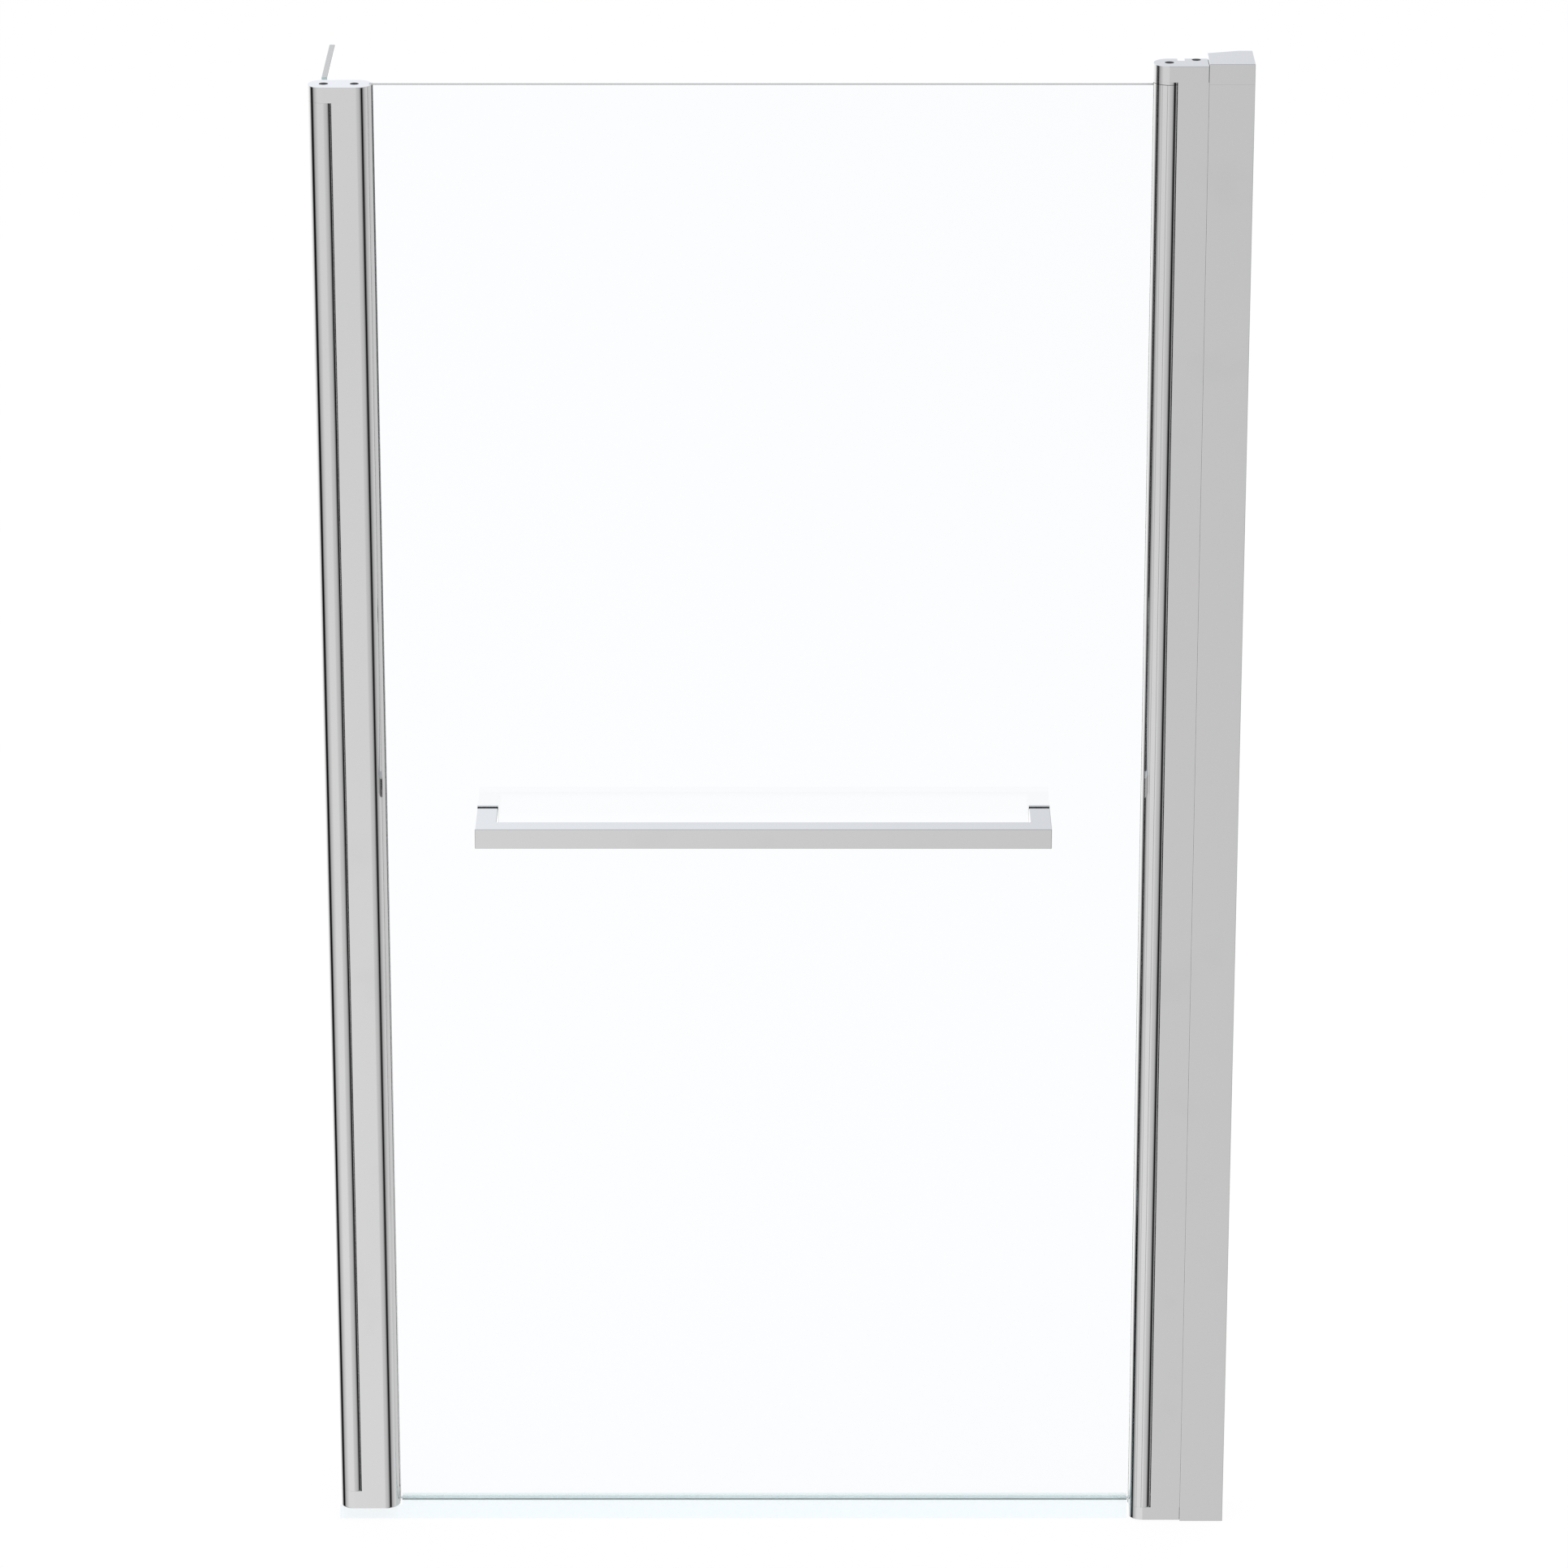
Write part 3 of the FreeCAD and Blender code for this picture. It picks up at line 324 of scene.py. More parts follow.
def plated_finish(name, shade, along, bores=(), shaded_end=False, joint=None):
    """Mirror plating with faint drawing lines along an axis and a thin film of water marks.

    Each bore is x, y and a radius, and inside it the surface is matt, not metal, and painted near black as
    painted shade in the bore. With a shaded end the faces towards the wall are painted dark the same way, as
    painted shade in the seam. At the height of a joint between two flush pieces the plating has a fine dull
    line.
    """
    material, wire = new_material(name)
    settings = bpy.context.scene.bath_screen_metal
    drawn_out = 0.02
    stretch = [drawn_out if axis == along else 1.0 for axis in "xyz"]
    lines = noise(wire, DRAWING_LINES, stretch)
    marks = noise(wire, WATER_MARKS).rise(0.55, 0.8)
    rough = settings.polish + 0.02 * lines + 0.03 * marks
    metal = mixed(marks, opaque(shade), shaded(shade, 0.97))
    x, y, z = own_place(wire).axes()
    if joint is not None:
        line = 1.0 - abs(z - joint).rise(0.1 * MM, 0.4 * MM)
        metal = mixed(line, metal, shaded(shade, 0.8))
    # Painted shade: masks where the bores and the faces in the seam at the wall are painted dark
    shade_masks = []
    for bore_x, bore_y, radius in bores:
        away = ((x - bore_x) ** 2.0 + (y - bore_y) ** 2.0) ** 0.5
        shade_masks.append((1.0 - away.rise(radius, radius + 0.1 * MM), settings.bore_colour))
    if shaded_end:
        shade_masks.append((face_direction(wire)[0].rise(0.9, 0.98), settings.seam_colour))
    metallic = 1.0
    for mask, shade_tone in shade_masks:
        metal = mixed(mask, metal, opaque(shade_tone))
        metallic = metallic * (1.0 - mask)
        rough = rough + 0.5 * mask
    surface(wire, principled(wire, {"Base Color": metal, "Roughness": rough, "Metallic": metallic,
                                    "Specular IOR Level": 0.1}))
    return material


def steel_finish():
    """Turned steel: fine rings about the upright axis read as a brushed, slightly uneven gloss."""
    material, wire = new_material("turned_steel")
    grain = noise(wire, TURNING_MARKS, (1.0, 1.0, 0.1))
    shade = bpy.context.scene.bath_screen_metal.steel_colour
    worn = mixed(grain, shaded(shade, 0.85), opaque(shade))
    surface(wire, principled(wire, {"Base Color": worn, "Roughness": 0.22 + 0.16 * grain, "Metallic": 1.0}))
    return material


def nylon_finish():
    """Moulded nylon: a soft sheen with a fine grain."""
    material, wire = new_material("moulded_nylon")
    grain = noise(wire, NYLON_GRAIN)
    shade = bpy.context.scene.bath_screen_soft.nylon_colour
    cloudy = mixed(grain, shaded(shade, 0.94), opaque(shade))
    bump = wire.node("ShaderNodeBump", (), {"Height": grain, "Strength": 0.2, "Distance": 0.02 * MM})
    surface(wire, principled(wire, {"Base Color": cloudy, "Roughness": 0.38 + 0.12 * grain, "Normal": bump}))
    return material


def rubber_finish():
    """Black rubber: matt, with a fine grain and a pale bloom in places."""
    material, wire = new_material("black_rubber_pad")
    grain = noise(wire, RUBBER_GRAIN)
    bloom = noise(wire, RUBBER_BLOOM).rise(0.5, 0.75)
    shade = bpy.context.scene.bath_screen_soft.rubber_colour
    dusty = mixed(bloom, opaque(shade), shaded(shade, 1.8))
    bump = wire.node("ShaderNodeBump", (), {"Height": grain, "Strength": 0.3, "Distance": 0.03 * MM})
    surface(wire, principled(wire, {"Base Color": dusty, "Roughness": 0.6 + 0.2 * grain, "Normal": bump}))
    return material


def glass_finish(name, across, bottom):
    """Clear glass with pale ground edges; across is the axis that the pane's two faces are square to.

    The upper edges are painted a darker grey than the upright ends, as painted shade, and the lower edge
    with its arrises, just over the pane's bottom, is painted palest, as painted light. The pane lets the
    light of lamps through.
    """
    material, wire = new_material(name)
    clear = bpy.context.scene.bath_screen_clear
    facing = face_direction(wire)
    edge = 1.0 - abs(facing["xyz".index(across)]).rise(0.75, 0.95)
    upwards = facing[2].rise(0.3, 0.7)
    above = own_place(wire).axes()[2].rise(bottom + 0.65 * MM, bottom + 0.75 * MM)
    grinding = noise(wire, GRINDING_MARKS)
    # Painted shade on the upward-facing edges, and painted light on the lower edge
    ends = mixed(upwards, opaque(clear.end_colour), opaque(clear.edge_colour))
    ends = mixed(above, opaque(clear.wet_colour), ends)
    pale = mixed(0.12 * grinding, ends, (0.0, 0.0, 0.0, 1.0))
    pane = principled(wire, {"Base Color": opaque(clear.glass_colour), "Roughness": 0.0, "IOR": 1.5,
                             "Transmission Weight": 1.0})
    ground = principled(wire, {"Base Color": pale, "Roughness": 0.25 + 0.2 * grinding, "IOR": 1.5})
    dressed = wire.node("ShaderNodeMixShader", (), {0: edge, 1: pane, 2: ground})
    lamp = wire.node("ShaderNodeLightPath", (), (), "Is Shadow Ray")
    through = wire.node("ShaderNodeBsdfTransparent", (), {"Color": opaque(clear.glass_colour)})
    surface(wire, wire.node("ShaderNodeMixShader", (), {0: lamp * (1.0 - edge), 1: dressed, 2: through}))
    return material


def vinyl_finish(name, shade, cover, cover_fade=None, slot=None):
    """Clear strip: soft gloss over a faint, slightly cloudy body.

    From the upper to the lower height of a cover fade the strip's cover falls, down to a fifth at the lower
    height. A slot is an axis, the place of its mouth on that axis and the way in, and past the mouth the
    strip is milky and hides all.
    """
    material, wire = new_material(name)
    cloud = noise(wire, VINYL_CLOUD)
    body = mixed(cloud, opaque(shade), shaded(shade, 0.96))
    alpha = cover * (0.8 + 0.4 * cloud)
    if cover_fade:
        alpha = alpha * (0.2 + 0.8 * own_place(wire).axes()[2].rise(*cover_fade))
    if slot:
        axis, mouth, inwards = slot
        depth = inwards * (own_place(wire).axes()["xyz".index(axis)] - mouth)
        alpha = alpha + depth.rise(0.2 * MM, 0.6 * MM) * (1.0 - alpha)
    surface(wire, principled(wire, {"Base Color": body, "Roughness": 0.3 + 0.1 * cloud, "IOR": 1.53,
                                    "Alpha": alpha}))
    return material


def seal_finish(floor, glass_bottom, rim, half):
    """The bottom seals' clear strip: a faint blue lip, pale walls, and a dark line along the glass's edge.

    The line is painted shade; it lies on the outside of the channel, strong in front and faint behind. The
    front rim has a little painted shade too.
    """
    material, wire = new_material("clear_bottom_seal")
    clear = bpy.context.scene.bath_screen_clear
    _, depth, height = own_place(wire).axes()
    rim_shade_share = 0.12
    back_shade_share = 0.1
    wall = height.rise(floor - 0.1 * MM, floor + 0.05 * MM)
    upright = 1.0 - abs(face_direction(wire)[2]).rise(0.3, 0.7)
    above = height - glass_bottom
    # Painted shade: the dark line along the glass's edge, a little on the front rim, and faint behind
    line = above.rise(-0.55 * MM, -0.35 * MM) * (1.0 - above.rise(0.75 * MM, 0.95 * MM)) * upright
    line = line + rim_shade_share * height.rise(rim - 0.9 * MM, rim - 0.7 * MM)
    outside = half - 0.6 * MM, half - 0.3 * MM
    line = line * ((-depth).rise(*outside) + back_shade_share * depth.rise(*outside))
    cloud = 0.85 + 0.3 * noise(wire, VINYL_CLOUD)
    shade = mixed(wall, opaque(clear.lip_colour), opaque(clear.wall_colour))
    shade = mixed(line, shade, opaque(clear.line_colour))
    cover = cloud * (clear.lip_cover + wall * (clear.wall_cover - clear.lip_cover))
    cover = cover + line * (clear.line_cover - cover)
    surface(wire, principled(wire, {"Base Color": shade, "Roughness": 0.1 * cloud, "IOR": 1.53,
                                    "Alpha": cover}))
    return material


def dress(names, material):
    """Gives CAD nodes a finish through their material slots."""
    for name in names:
        NODES[name].material_slots[0].material = material


# Shapes

def rounded_outline(corners, radius, steps=6):
    """A closed outline with an arc at each corner.

    The arc leaves each edge at radius over the tangent of half the corner's angle. Its centre is on the
    corner's bisector, and its points are the first spoke turned evenly about that centre.
    """
    corner = np.asarray(corners, float)
    radius = np.broadcast_to(np.asarray(radius, float), len(corner))[:, None]
    back = np.roll(corner, 1, 0) - corner
    ahead = np.roll(corner, -1, 0) - corner
    back /= np.linalg.norm(back, axis=1, keepdims=True)
    ahead /= np.linalg.norm(ahead, axis=1, keepdims=True)
    half = np.arccos(np.clip((back * ahead).sum(1, keepdims=True), -1.0, 1.0)) / 2
    bisector = (back + ahead) / np.linalg.norm(back + ahead, axis=1, keepdims=True)
    centre = corner + bisector * radius / np.sin(half)
    spoke = corner + back * radius / np.tan(half) - centre
    side = np.sign(back[:, :1] * -ahead[:, 1:] + back[:, 1:] * ahead[:, :1])
    turn = side * (math.pi - 2 * half) * np.linspace(0.0, 1.0, steps)
    x = spoke[:, :1] * np.cos(turn) - spoke[:, 1:] * np.sin(turn)
    y = spoke[:, :1] * np.sin(turn) + spoke[:, 1:] * np.cos(turn)
    return (centre[:, None] + np.stack([x, y], -1)).reshape(-1, 2)


def arc(centre, radius, start, end):
    """Points about two degrees apart on a circle, from one angle to another."""
    angle = np.radians(np.linspace(start, end, int(abs(end - start) / 2) + 2))
    return np.asarray(centre[:2]) + radius * np.stack([np.cos(angle), np.sin(angle)], 1)


def inset(outline, distance):
    """An outline moved inwards: each point moves by its two edges' normals over 1 + their cosine."""
    edge = np.roll(outline, -1, 0) - outline
    edge /= np.linalg.norm(edge, axis=1, keepdims=True)
    normal = np.stack([-edge[:, 1], edge[:, 0]], 1)
    before = np.roll(normal, 1, 0)
    lean = 1.0 + (normal * before).sum(1, keepdims=True)
    return outline + distance * (normal + before) / lean


def carried(outline, span, axes):
    """A closed outline carried straight from one end of a span to the other, with flat ends.

    axes names the outline's two axes and then the one that it is carried along.
    """
    count = len(outline)
    points = np.empty((2, count, 3))
    points[:, :, "xyz".index(axes[0])] = outline[:, 0]
    points[:, :, "xyz".index(axes[1])] = outline[:, 1]
    points[:, :, "xyz".index(axes[2])] = np.asarray(span, float)[:, None]
    first = np.arange(count)
    after = np.roll(first, -1)
    sides = np.stack([first, after, after + count, first + count], 1)
    return points.reshape(-1, 3), sides.tolist() + [first[::-1].tolist(), (first + count).tolist()]


def pierced_cap(outline, span, outward, rim, bores):
    """A cap with a rounded rim on its outer face and blind bores in that face.

    The side is the outline at each height; over the rim it moves inwards by the radius less its cosine part,
    as the height rises by its sine part. The outer face is triangles between the last outline and the bores'
    circles. Each bore is x, y, radius and depth, and is a circle carried down to a flat floor.
    """
    outer, inner = (span[1], span[0]) if outward > 0 else span
    angle = np.radians(np.linspace(0.0, 90.0, 9))
    insets = np.concatenate([[0.0], rim * (1.0 - np.cos(angle))])
    heights = np.concatenate([[inner], outer - outward * rim * (1.0 - np.sin(angle))])
    count = len(outline)
    rings = [np.column_stack([inset(outline, step), np.full(count, height)])
             for step, height in zip(insets, heights)]
    index = np.arange(len(rings) * count).reshape(len(rings), count)
    after = np.roll(index, -1, 1)
    sides = np.stack([index[:-1], after[:-1], after[1:], index[1:]], -1).reshape(-1, 4)
    shells = [(np.concatenate(rings), sides.tolist() + [index[0].tolist()])]
    loops = [rings[-1][:, :2]]
    for x, y, radius, depth in bores:
        circle = arc((x, y), radius, 0.0, 358.0)
        loops.append(circle)
        points, faces = carried(circle, (outer, outer - outward * depth), "xyz")
        shells.append((points, faces[:len(circle)] + faces[-1:]))
    ends = np.cumsum([len(loop) for loop in loops])
    edges = np.arange(ends[-1])
    following = edges + 1
    following[ends - 1] = np.concatenate([[0], ends[:-1]])
    flat = [Vector(point) for point in np.concatenate(loops)]
    inside_with_holes, same_place = 5, 1e-9
    found = delaunay_2d_cdt(flat, np.stack([edges, following], 1).tolist(), [], inside_with_holes, same_place)
    face_points = np.array(found[0])
    shells.append((np.column_stack([face_points, np.full(len(face_points), outer)]), found[2]))
    return shells


def ring_grid(points):
    """A closed surface from a grid of points that joins up with itself both ways."""
    rows, columns = points.shape[:2]
    index = np.arange(rows * columns).reshape(rows, columns)
    below = np.roll(index, -1, 0)
    faces = np.stack([index, np.roll(index, -1, 1), np.roll(below, -1, 1), below], -1)
    return points.reshape(-1, 3), faces.reshape(-1, 4).tolist()


def make_piece(name, shells, material, body, replaced):
    """One object from closed shells, riding on a body in place of CAD nodes."""
    points, faces, start = [], [], 0
    for shell_points, shell_faces in shells:
        points.append(shell_points)
        faces += [[start + index for index in face] for face in shell_faces]
        start += len(shell_points)
    mesh = bpy.data.meshes.new(name)
    mesh.from_pydata(np.concatenate(points), [], faces)
    outwards(mesh)
    mesh.polygons.foreach_set("use_smooth", np.ones(len(mesh.polygons), bool))
    mesh.set_sharp_from_angle(angle=math.radians(40.0))
    mesh.materials.append(material)
    piece = bpy.data.objects.new(name, mesh)
    flats = piece.modifiers.new("true_flats", "WEIGHTED_NORMAL")
    flats.keep_sharp = True
    bpy.context.scene.collection.objects.link(piece)
    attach(piece, body)
    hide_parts(*replaced)
    return piece


def outwards(mesh):
    """Joins shells where they meet, and turns every face outwards."""
    work = bmesh.new()
    work.from_mesh(mesh)
    bmesh.ops.remove_doubles(work, verts=work.verts, dist=0.001 * MM)
    bmesh.ops.recalc_face_normals(work, faces=work.faces)
    work.to_mesh(mesh)
    work.free()


def span_of(node, axis):
    """Lowest and highest value of a CAD node on an axis."""
    low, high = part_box(node)
    return low["xyz".index(axis)], high["xyz".index(axis)]


# Pieces

class BATHSCREEN_OT_stage(Operator):
    """Lay the floor, light the studio and place the camera"""

    bl_idname = "bath_screen.stage"
    bl_label = "Stage"

    def execute(self, context):
        stage = context.scene.bath_screen_stage
        self.lay_floor(context, stage)
        self.light_world(context)
        self.hang_key(context, stage)
        self.place_camera(context, stage)
        context.scene.view_settings.view_transform = "Standard"
        return {"FINISHED"}

    def lay_floor(self, context, stage):
        """A square floor that the camera sees as white, less the shadow that falls on it.

        Metal and glass mirror the studio's screens in its place.
        """
        half = stage.floor_size / 2
        corners = [(-half, -half), (half, -half), (half, half), (-half, half)]
        mesh = bpy.data.meshes.new("studio_floor")
        mesh.from_pydata([(x, y, -stage.floor_drop) for x, y in corners], [], [(0, 1, 2, 3)])
        material, wire = new_material("studio_floor_white")
        plain = wire.node("ShaderNodeBsdfDiffuse", (), {"Color": opaque(stage.floor_colour)})
        white = wire.node("ShaderNodeEmission", (), {"Color": (1.0, 1.0, 1.0, 1.0), "Strength": 1.0})
        seen = wire.node("ShaderNodeLightPath", (), (), "Is Camera Ray")
        behind_glass = wire.node("ShaderNodeLightPath", (), (), "Is Transmission Ray")
        glow = seen.most(behind_glass) * stage.floor_glow
        surface(wire, wire.node("ShaderNodeMixShader", (), {0: glow, 1: plain, 2: white}))
        mesh.materials.append(material)
        floor = bpy.data.objects.new("studio_floor", mesh)
        floor.visible_glossy = False
        context.scene.collection.objects.link(floor)

    def light_world(self, context):
        """White all round; metal and glass see the studio's screens, and a cool light over them."""
        world = bpy.data.worlds.new("studio")
        world.use_nodes = True
        world.node_tree.nodes.clear()
        wire = Wire(world.node_tree)
        x, y, z = wire.node("ShaderNodeTexCoord", (), (), "Generated").axes()
        turn = x.math("ARCTAN2", x, -y) / (2 * math.pi) + 0.5
        stops = [(angle / 360 + 0.5, (bright / BRIGHTEST,) * 3) for angle, bright in SCREENS]
        around = wire.node("ShaderNodeValToRGB", {"stops": stops}, {"Fac": turn}) * BRIGHTEST
        side_limit = 0.08
        sideways = x.most(-side_limit).least(side_limit)
        low_lift, low_lean = 0.055, 0.45
        around = around * (1.0 + (low_lift - low_lean * sideways) * (-z).rise(0.26, 0.42))
        over_bright, over_lean, over_front = 1.09, 2.0, 0.45
        over = over_bright - over_lean * sideways - over_front * (-y).rise(0.0, 0.5)
        upwards = z.rise(0.0, 0.2)
        bright = around + upwards * (over - around)
        mirrored = wire.node("ShaderNodeLightPath", (), (), "Is Glossy Ray")
        strength = 1.0 + mirrored * (bright - 1.0)
        white, cool = (1.0, 1.0, 1.0, 1.0), (0.965, 0.985, 1.045, 1.0)
        tint = mixed(mirrored * upwards, white, cool)
        light = wire.node("ShaderNodeBackground", (), {"Color": tint, "Strength": strength})
        wire.node("ShaderNodeOutputWorld", (), {"Surface": light})
        context.scene.world = world

    def hang_key(self, context, stage):
        """One large soft light overhead, out of sight of metal and glass."""
        lamp = bpy.data.lights.new("soft_key", "AREA")
        lamp.energy = stage.key_energy
        lamp.size = stage.key_size
        key = bpy.data.objects.new("soft_key", lamp)
        key.location = (stage.camera_target[0], -1.0, stage.key_height)
        key.visible_glossy = False
        key.visible_transmission = False
        context.scene.collection.objects.link(key)

    def place_camera(self, context, stage):
        """Level with the glass from side to side, looking down on it."""
        lens = bpy.data.cameras.new("photo_camera")
        lens.lens = stage.camera_lens
        lens.sensor_width = 36.0
        lens.clip_end = 100.0
        camera = bpy.data.objects.new("photo_camera", lens)
        back = stage.camera_distance * math.cos(stage.camera_pitch)
        up = stage.camera_distance * math.sin(stage.camera_pitch)
        target = stage.camera_target
        camera.location = (target[0], target[1] - back, target[2] + up)
        camera.rotation_euler = (math.pi / 2 - stage.camera_pitch, 0.0, 0.0)
        context.scene.collection.objects.link(camera)
        context.scene.camera = camera


class BATHSCREEN_OT_wall_profile(Operator):
    """Plate the wall profile, its cover and its cap"""

    bl_idname = "bath_screen.wall_profile"
    bl_label = "Wall profile"

    def execute(self, context):
        metal = context.scene.bath_screen_metal
        plate = plated_finish("chrome_wall_profile", metal.profile_colour, "z")
        dress(("wall_profile", "wall_profile_cover"), plate)
        cap = plated_finish("chrome_wall_cap", metal.cap_colour, "z", joint=span_of("wall_profile", "z")[1])
        dress(("wall_profile_top_cap",), cap)
        return {"FINISHED"}


class BATHSCREEN_OT_posts(Operator):
    """Build the hinge post and the return post, each hollow towards its knuckle"""

    bl_idname = "bath_screen.posts"
    bl_label = "Posts"

    leg_play = 0.2 * MM
    lip_turn = 40.0

    def execute(self, context):
        metal = context.scene.bath_screen_metal
        finish = plated_finish("chrome_post", metal.profile_colour, "z")
        self.half = span_of("main_knuckle", "y")[1]
        for node, body, section in (
            ("hinge_post", "wall_frame", self.hinge_section),
            ("return_post", "main_panel", self.return_section),
        ):
            bottom, top = span_of(node, "z")
            top += metal.cap_collar if node == "hinge_post" else 0.0
            shells = [carried(section(span_of(node, "x")), (bottom, top), "xyz")]
            make_piece(f"{node}_extrusion", shells, finish, body, [node])
        return {"FINISHED"}

    def hollow(self, pivot, low, lip):
        """The back lip, the round hollow about the pivot and the front lip, as one run of points.

        A lip's inner face runs straight into the hollow, at the angle whose sine is that face's height over
        the hollow's radius.
        """
        radius = math.hypot(low - pivot[0], self.half)
        turn = math.degrees(math.asin(lip[-1][1] / radius))
        return np.concatenate([lip, arc(pivot, radius, turn, -turn), lip[::-1] * (1.0, -1.0)])

    def hinge_section(self, span):
        """Closed front and back, hollow towards the knuckle, with two legs that slide into the wall profile.

        Behind the hollow runs a round wall, an arc about the pivot one wall's thickness further out.
        """
        metal = bpy.context.scene.bath_screen_metal
        wall = metal.extrusion_wall
        pivot = PIVOTS["main_hinge"]
        seam = span_of("wall_profile", "x")[0] - metal.post_seam
        tip = span[1]
        inside = self.half - wall
        tongue = inside - self.leg_play
        bend = metal.extrusion_edge
        radius = math.hypot(span[0] - pivot[0], self.half) + wall
        lean = math.degrees(math.asin(inside / radius))
        legs = np.array([(seam, tongue), (tip, tongue), (tip, tongue - wall), (seam - wall, tongue - wall),
                         (seam - wall, inside)])
        bead = metal.hinge_lip
        lip = arc((span[0] + metal.hinge_setback + bead, self.half - bead), bead, 90.0, 270.0)
        return np.concatenate([
            arc((seam - bend, self.half - bend), bend, 0.0, 90.0),
            self.hollow(pivot, span[0], lip),
            arc((seam - bend, bend - self.half), bend, -90.0, 0.0),
            legs * (1.0, -1.0),
            arc(pivot, radius, -lean, lean),
            legs[::-1],
        ])

    def return_section(self, span):
        """Hollow towards the return knuckle, round towards the glass, with a slot for the glass's edge."""
        metal = bpy.context.scene.bath_screen_metal
        gasket = [span_of("return_post_gasket", axis) for axis in "xy"]
        floor, slot = gasket[0][0], gasket[1][1]
        end = (span_of("return_post_top_cap", "x")[1] - self.half, 0.0)
        mouth = math.degrees(math.asin(slot / self.half))
        bend = metal.return_bend
        turn = self.lip_turn
        nose = span[0] + metal.return_setback
        lip = arc((nose + bend * math.sin(math.radians(turn)), self.half - bend), bend, 90.0, 90.0 + turn)
        lip = np.concatenate([lip, [(nose, self.half - metal.return_lip)]])
        return np.concatenate([
            arc(end, self.half, mouth, 90.0),
            self.hollow(PIVOTS["return_hinge"], span[0], lip),
            arc(end, self.half, -90.0, -mouth),
            [(floor, -slot), (floor, slot)],
        ])


class BATHSCREEN_OT_knuckles(Operator):
    """Build the two round knuckles that turn in the posts and hold the glass"""

    bl_idname = "bath_screen.knuckles"
    bl_label = "Knuckles"

    grooves = (-6.8 * MM, -1.7 * MM)

    def execute(self, context):
        metal = context.scene.bath_screen_metal
        finish = plated_finish("chrome_knuckle", metal.profile_colour, "z")
        self.radius = span_of("main_knuckle", "y")[1]
        gasket = span_of("main_knuckle_gasket", "x")
        self.slot_half = span_of("main_knuckle_gasket", "y")[1]
        self.slot_floor = PIVOTS["main_hinge"][0] - gasket[1]
        close = metal.knuckle_seam
        post = span_of("hinge_post", "z")
        main = self.section(context, self.grooves) + PIVOTS["main_hinge"][:2]
        shells = [carried(main, (post[0] + close, post[1] - metal.knuckle_gap), "xyz")]
        make_piece("main_knuckle_bar", shells, finish, "main_panel", ["main_knuckle"])
        post = span_of("return_post", "z")
        plain = self.section(context, ())
        turned = np.stack([plain[:, 1], -plain[:, 0]], 1) + PIVOTS["return_hinge"][:2]
        shells = [carried(turned, (post[0] + close, post[1] - close), "xyz")]
        make_piece("return_knuckle_bar", shells, finish, "return_panel",
                   ["return_knuckle"])
        return {"FINISHED"}

    def section(self, context, grooves):
        """A circle about the pivot with a slot for the glass on -X and grooves along its front and back.

        A groove is a notch with one lowest point, between the two angles where its sides meet the circle.
        """
        metal = context.scene.bath_screen_metal
        mouth = math.degrees(math.asin(self.slot_half / self.radius))
        runs = []
        start = mouth - 180.0
        sides = [(offset, -1.0) for offset in sorted(grooves)]
        sides += [(offset, 1.0) for offset in sorted(grooves, reverse=True)]
        for offset, side in sides:
            across = offset - side * metal.groove_width / 2 * np.array([-1.0, 1.0])
            ends = side * np.degrees(np.arccos(across / self.radius))
            sunk = side * (math.sqrt(self.radius ** 2 - offset ** 2) - metal.groove_depth)
            runs += [arc((0.0, 0.0), self.radius, start, ends[0]), [(offset, sunk)]]
            start = ends[1]
        runs.append(arc((0.0, 0.0), self.radius, start, 180.0 - mouth))
        runs.append([(-self.slot_floor, self.slot_half), (-self.slot_floor, -self.slot_half)])
        return np.concatenate(runs)


